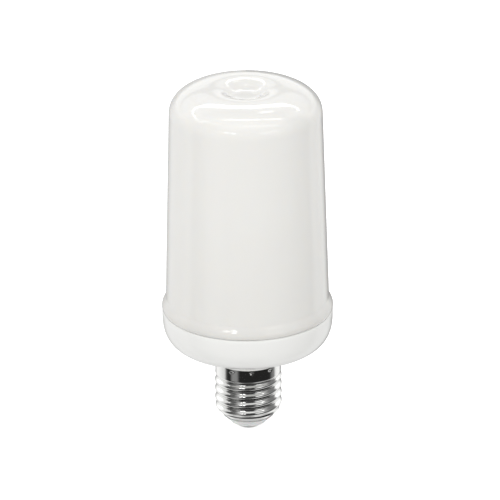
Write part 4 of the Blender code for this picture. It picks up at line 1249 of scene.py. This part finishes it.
def studio_reflections(graph, direction):
    """What glossy surfaces see: a white tent with dark cloth round the camera, a long strip
    light behind the lamp, and tubes and small lights overhead. Angles are in degrees."""
    parts = graph.parts(direction)
    azimuth = graph.math("DEGREES", graph.math("ARCTAN2", parts["X"], parts["Y"] * -1.0))
    elevation = graph.math("DEGREES", graph.math("ARCSINE", parts["Z"]))
    aside = abs(azimuth)
    level = graph.step(aside, 90.0, 130.0, 0.85, 1.10)
    for left, right, low, high, soft, strength in TENT_PANELS:
        panel = graph.band(azimuth, left, right, soft) * graph.band(elevation, low, high, soft / 2.0)
        level = graph.mix(panel, level, grey(strength))

    bow = graph.step(aside, 160.0, 180.0, 0.0, 2.2)
    half = graph.step(aside, 152.0, 178.0, 1.3, 4.4)
    off = abs(elevation + bow - 42.0)
    cut = graph.band(azimuth, -97.0, 130.0, 2.0)
    strip = graph.step(off - half, -0.6, 0.6, 1.0, 0.0) * (cut * -1.0 + 1.0)
    level = graph.mix(strip, level, grey(6.0))

    rise = graph.math("MAXIMUM", parts["Z"], 0.01)
    across = parts["X"] / rise
    behind = parts["Y"] / rise
    above = graph.step(parts["Z"], 0.05, 0.15)
    for left, right, front, back, strength in CEILING_LIGHTS:
        light = graph.band(across, left, right, 0.03) * graph.band(behind, front, back, 0.012)
        level = graph.mix(light * above, level, grey(strength))
    return level


def fresh_graph(item):
    """The graph of a world or material, emptied, with its light path's outputs by name and how
    far a ray sees the studio as the camera does."""
    item.use_nodes = True
    item.node_tree.nodes.clear()
    graph = Graph(item.node_tree)
    ray = graph.named(graph.add("ShaderNodeLightPath"))
    return graph, ray, graph.math("MAXIMUM", ray["Is Camera Ray"], ray["Is Transmission Ray"])


def make_world(studio):
    """White for the camera, the studio's reflections for gloss, soft light for everything else."""
    world = bpy.data.worlds.new("studio")
    graph, ray, seen_ray = fresh_graph(world)
    direction = graph.take("ShaderNodeTexCoord", "Generated")
    white = graph.take("ShaderNodeBackground", 0, {"Color": WHITE, "Strength": 1.0})
    tent = graph.take("ShaderNodeBackground", 0, {"Color": studio_reflections(graph, direction)})
    ways = {0: direction, 1: BRIGHTEST_WAY}
    towards_light = graph.take("ShaderNodeVectorMath", "Value", ways, operation="DOT_PRODUCT")
    strength = graph.step(towards_light, -1.0, 1.0, 0.60, 1.40) * studio.fill
    soft = graph.take("ShaderNodeBackground", 0, {"Color": WHITE, "Strength": strength})
    lit = graph.blend(ray["Is Glossy Ray"], soft, tent)
    graph.add("ShaderNodeOutputWorld", {"Surface": graph.blend(seen_ray, lit, white)})
    bpy.context.scene.world = world


def stage_object(name, data):
    """An object of the studio, linked to the scene itself."""
    item = bpy.data.objects.new(name, data)
    bpy.context.scene.collection.objects.link(item)
    return item


def make_floor():
    """A pale floor that is white to the camera, keeps the lamp's shadow, and is open from below."""
    mesh = bpy.data.meshes.new("floor")
    corners = [(-1.0, -1.0), (1.0, -1.0), (1.0, 1.0), (-1.0, 1.0)]
    mesh.from_pydata([(x * FLOOR_HALF, y * FLOOR_HALF, -FLOOR_GAP) for x, y in corners], [], [(0, 1, 2, 3)])
    floor = stage_object("floor", mesh)
    material = bpy.data.materials.new("floor")
    graph, _, seen_ray = fresh_graph(material)
    matt = graph.take("ShaderNodeBsdfDiffuse", 0, {"Color": FLOOR_COLOUR})
    glow = graph.take("ShaderNodeEmission", 0, {"Color": WHITE, "Strength": FLOOR_GLOW})
    top = graph.blend(seen_ray, matt, graph.take("ShaderNodeAddShader", 0, {0: matt, 1: glow}))
    below = graph.take("ShaderNodeNewGeometry", "Backfacing")
    clear = graph.take("ShaderNodeBsdfTransparent", 0)
    graph.add("ShaderNodeOutputMaterial", {"Surface": graph.blend(below, top, clear)})
    mesh.materials.append(material)
    floor.visible_glossy = False


def make_camera(studio):
    """The camera, aimed down at the lamp, then moved aside and leant a little."""
    data = bpy.data.cameras.new("camera")
    data.lens = studio.lens
    camera = stage_object("camera", data)
    e, roll = studio.elevation, studio.roll
    back = Vector((0.0, -math.cos(e), math.sin(e)))
    right = Vector((1.0, 0.0, 0.0))
    up = Vector((0.0, math.sin(e), math.cos(e)))
    leant_right = right * math.cos(roll) - up * math.sin(roll)
    leant_up = up * math.cos(roll) + right * math.sin(roll)
    turn = Matrix((leant_right, leant_up, back)).transposed()
    aim = Vector((0.0, 0.0, studio.aim_height))
    place = aim + back * studio.distance + right * studio.right + up * studio.up
    camera.matrix_world = Matrix.Translation(place) @ turn.to_4x4()
    bpy.context.scene.camera = camera


def area_lamp(name, place, aim, **settings):
    """A flat lamp at its place, turned to its aim and hidden from the camera."""
    data = bpy.data.lights.new(name, "AREA")
    for label, value in settings.items():
        setattr(data, label, value)
    lamp = stage_object(name, data)
    turn = (place - aim).to_track_quat("Z", "Y").to_matrix()
    lamp.matrix_world = Matrix.Translation(place) @ turn.to_4x4()
    lamp.visible_camera = False
    return lamp


def make_lamps(studio):
    """A broad soft lamp above the camera, which gloss doesn't show, and the small bright cards,
    which only gloss shows."""
    aim = Vector((0.0, 0.0, studio.aim_height))
    key = area_lamp("key", Vector(KEY_PLACE), aim, shape="DISK", size=KEY_SIZE, energy=studio.key)
    key.visible_glossy = False
    crown_top = Vector((0.0, 0.0, CAD_BOX[1][2]))
    for azimuth, elevation, width, height, power in CARDS:
        turn, rise = math.radians(azimuth), math.radians(elevation)
        towards = Vector((math.sin(turn) * math.cos(rise), -math.cos(turn) * math.cos(rise), math.sin(rise)))
        place = crown_top + CARD_DISTANCE * towards
        form = {"shape": "RECTANGLE", "size": width, "size_y": height}
        card = area_lamp("card", place, crown_top, energy=power, **form)
        card.visible_diffuse = False


class FLAMELAMP_OT_studio(Operator):
    """Sets up the floor, the light and the camera"""

    bl_idname = "flamelamp.set_up_studio"
    bl_label = "Set up the studio"

    def execute(self, context):
        studio = context.scene.flame_lamp.studio
        make_world(studio)
        make_floor()
        make_lamps(studio)
        make_camera(studio)
        context.scene.view_settings.view_transform = "Standard"
        return {"FINISHED"}


class FLAMELAMP_PT_panel(Panel):
    """Lists the lamp's settings and the steps that make it"""

    bl_label = "Flame lamp"
    bl_idname = "FLAMELAMP_PT_panel"
    bl_space_type = "VIEW_3D"
    bl_region_type = "UI"
    bl_category = "Flame lamp"

    def draw(self, context):
        settings = context.scene.flame_lamp
        for part in ("cover", "cup", "cap", "board", "driver", "studio"):
            box = self.layout.box()
            box.label(text=part.capitalize())
            group = getattr(settings, part)
            for name in group.__annotations__:
                box.prop(group, name)
        for step in STEPS:
            self.layout.operator(step.bl_idname)


SETTINGS = (
    CoverSettings,
    CupSettings,
    CapSettings,
    BoardSettings,
    DriverSettings,
    StudioSettings,
    LampSettings,
)
STEPS = (
    FLAMELAMP_OT_cover,
    FLAMELAMP_OT_cup,
    FLAMELAMP_OT_shell,
    FLAMELAMP_OT_cap_end,
    FLAMELAMP_OT_windows,
    FLAMELAMP_OT_coil,
    FLAMELAMP_OT_joints,
    FLAMELAMP_OT_inner_finishes,
    FLAMELAMP_OT_studio,
)


def register():
    for item in (*SETTINGS, *STEPS, FLAMELAMP_PT_panel):
        bpy.utils.register_class(item)
    bpy.types.Scene.flame_lamp = PointerProperty(type=LampSettings)


def unregister():
    del bpy.types.Scene.flame_lamp
    for item in reversed((*SETTINGS, *STEPS, FLAMELAMP_PT_panel)):
        bpy.utils.unregister_class(item)


def main():
    register()
    bpy.ops.flamelamp.make_cover()
    bpy.ops.flamelamp.make_cup()
    bpy.ops.flamelamp.make_shell()
    bpy.ops.flamelamp.make_cap_end()
    bpy.ops.flamelamp.make_windows()
    bpy.ops.flamelamp.make_coil()
    bpy.ops.flamelamp.make_joints()
    bpy.ops.flamelamp.finish_inside()
    bpy.ops.flamelamp.set_up_studio()


if __name__ == "__main__":
    main()
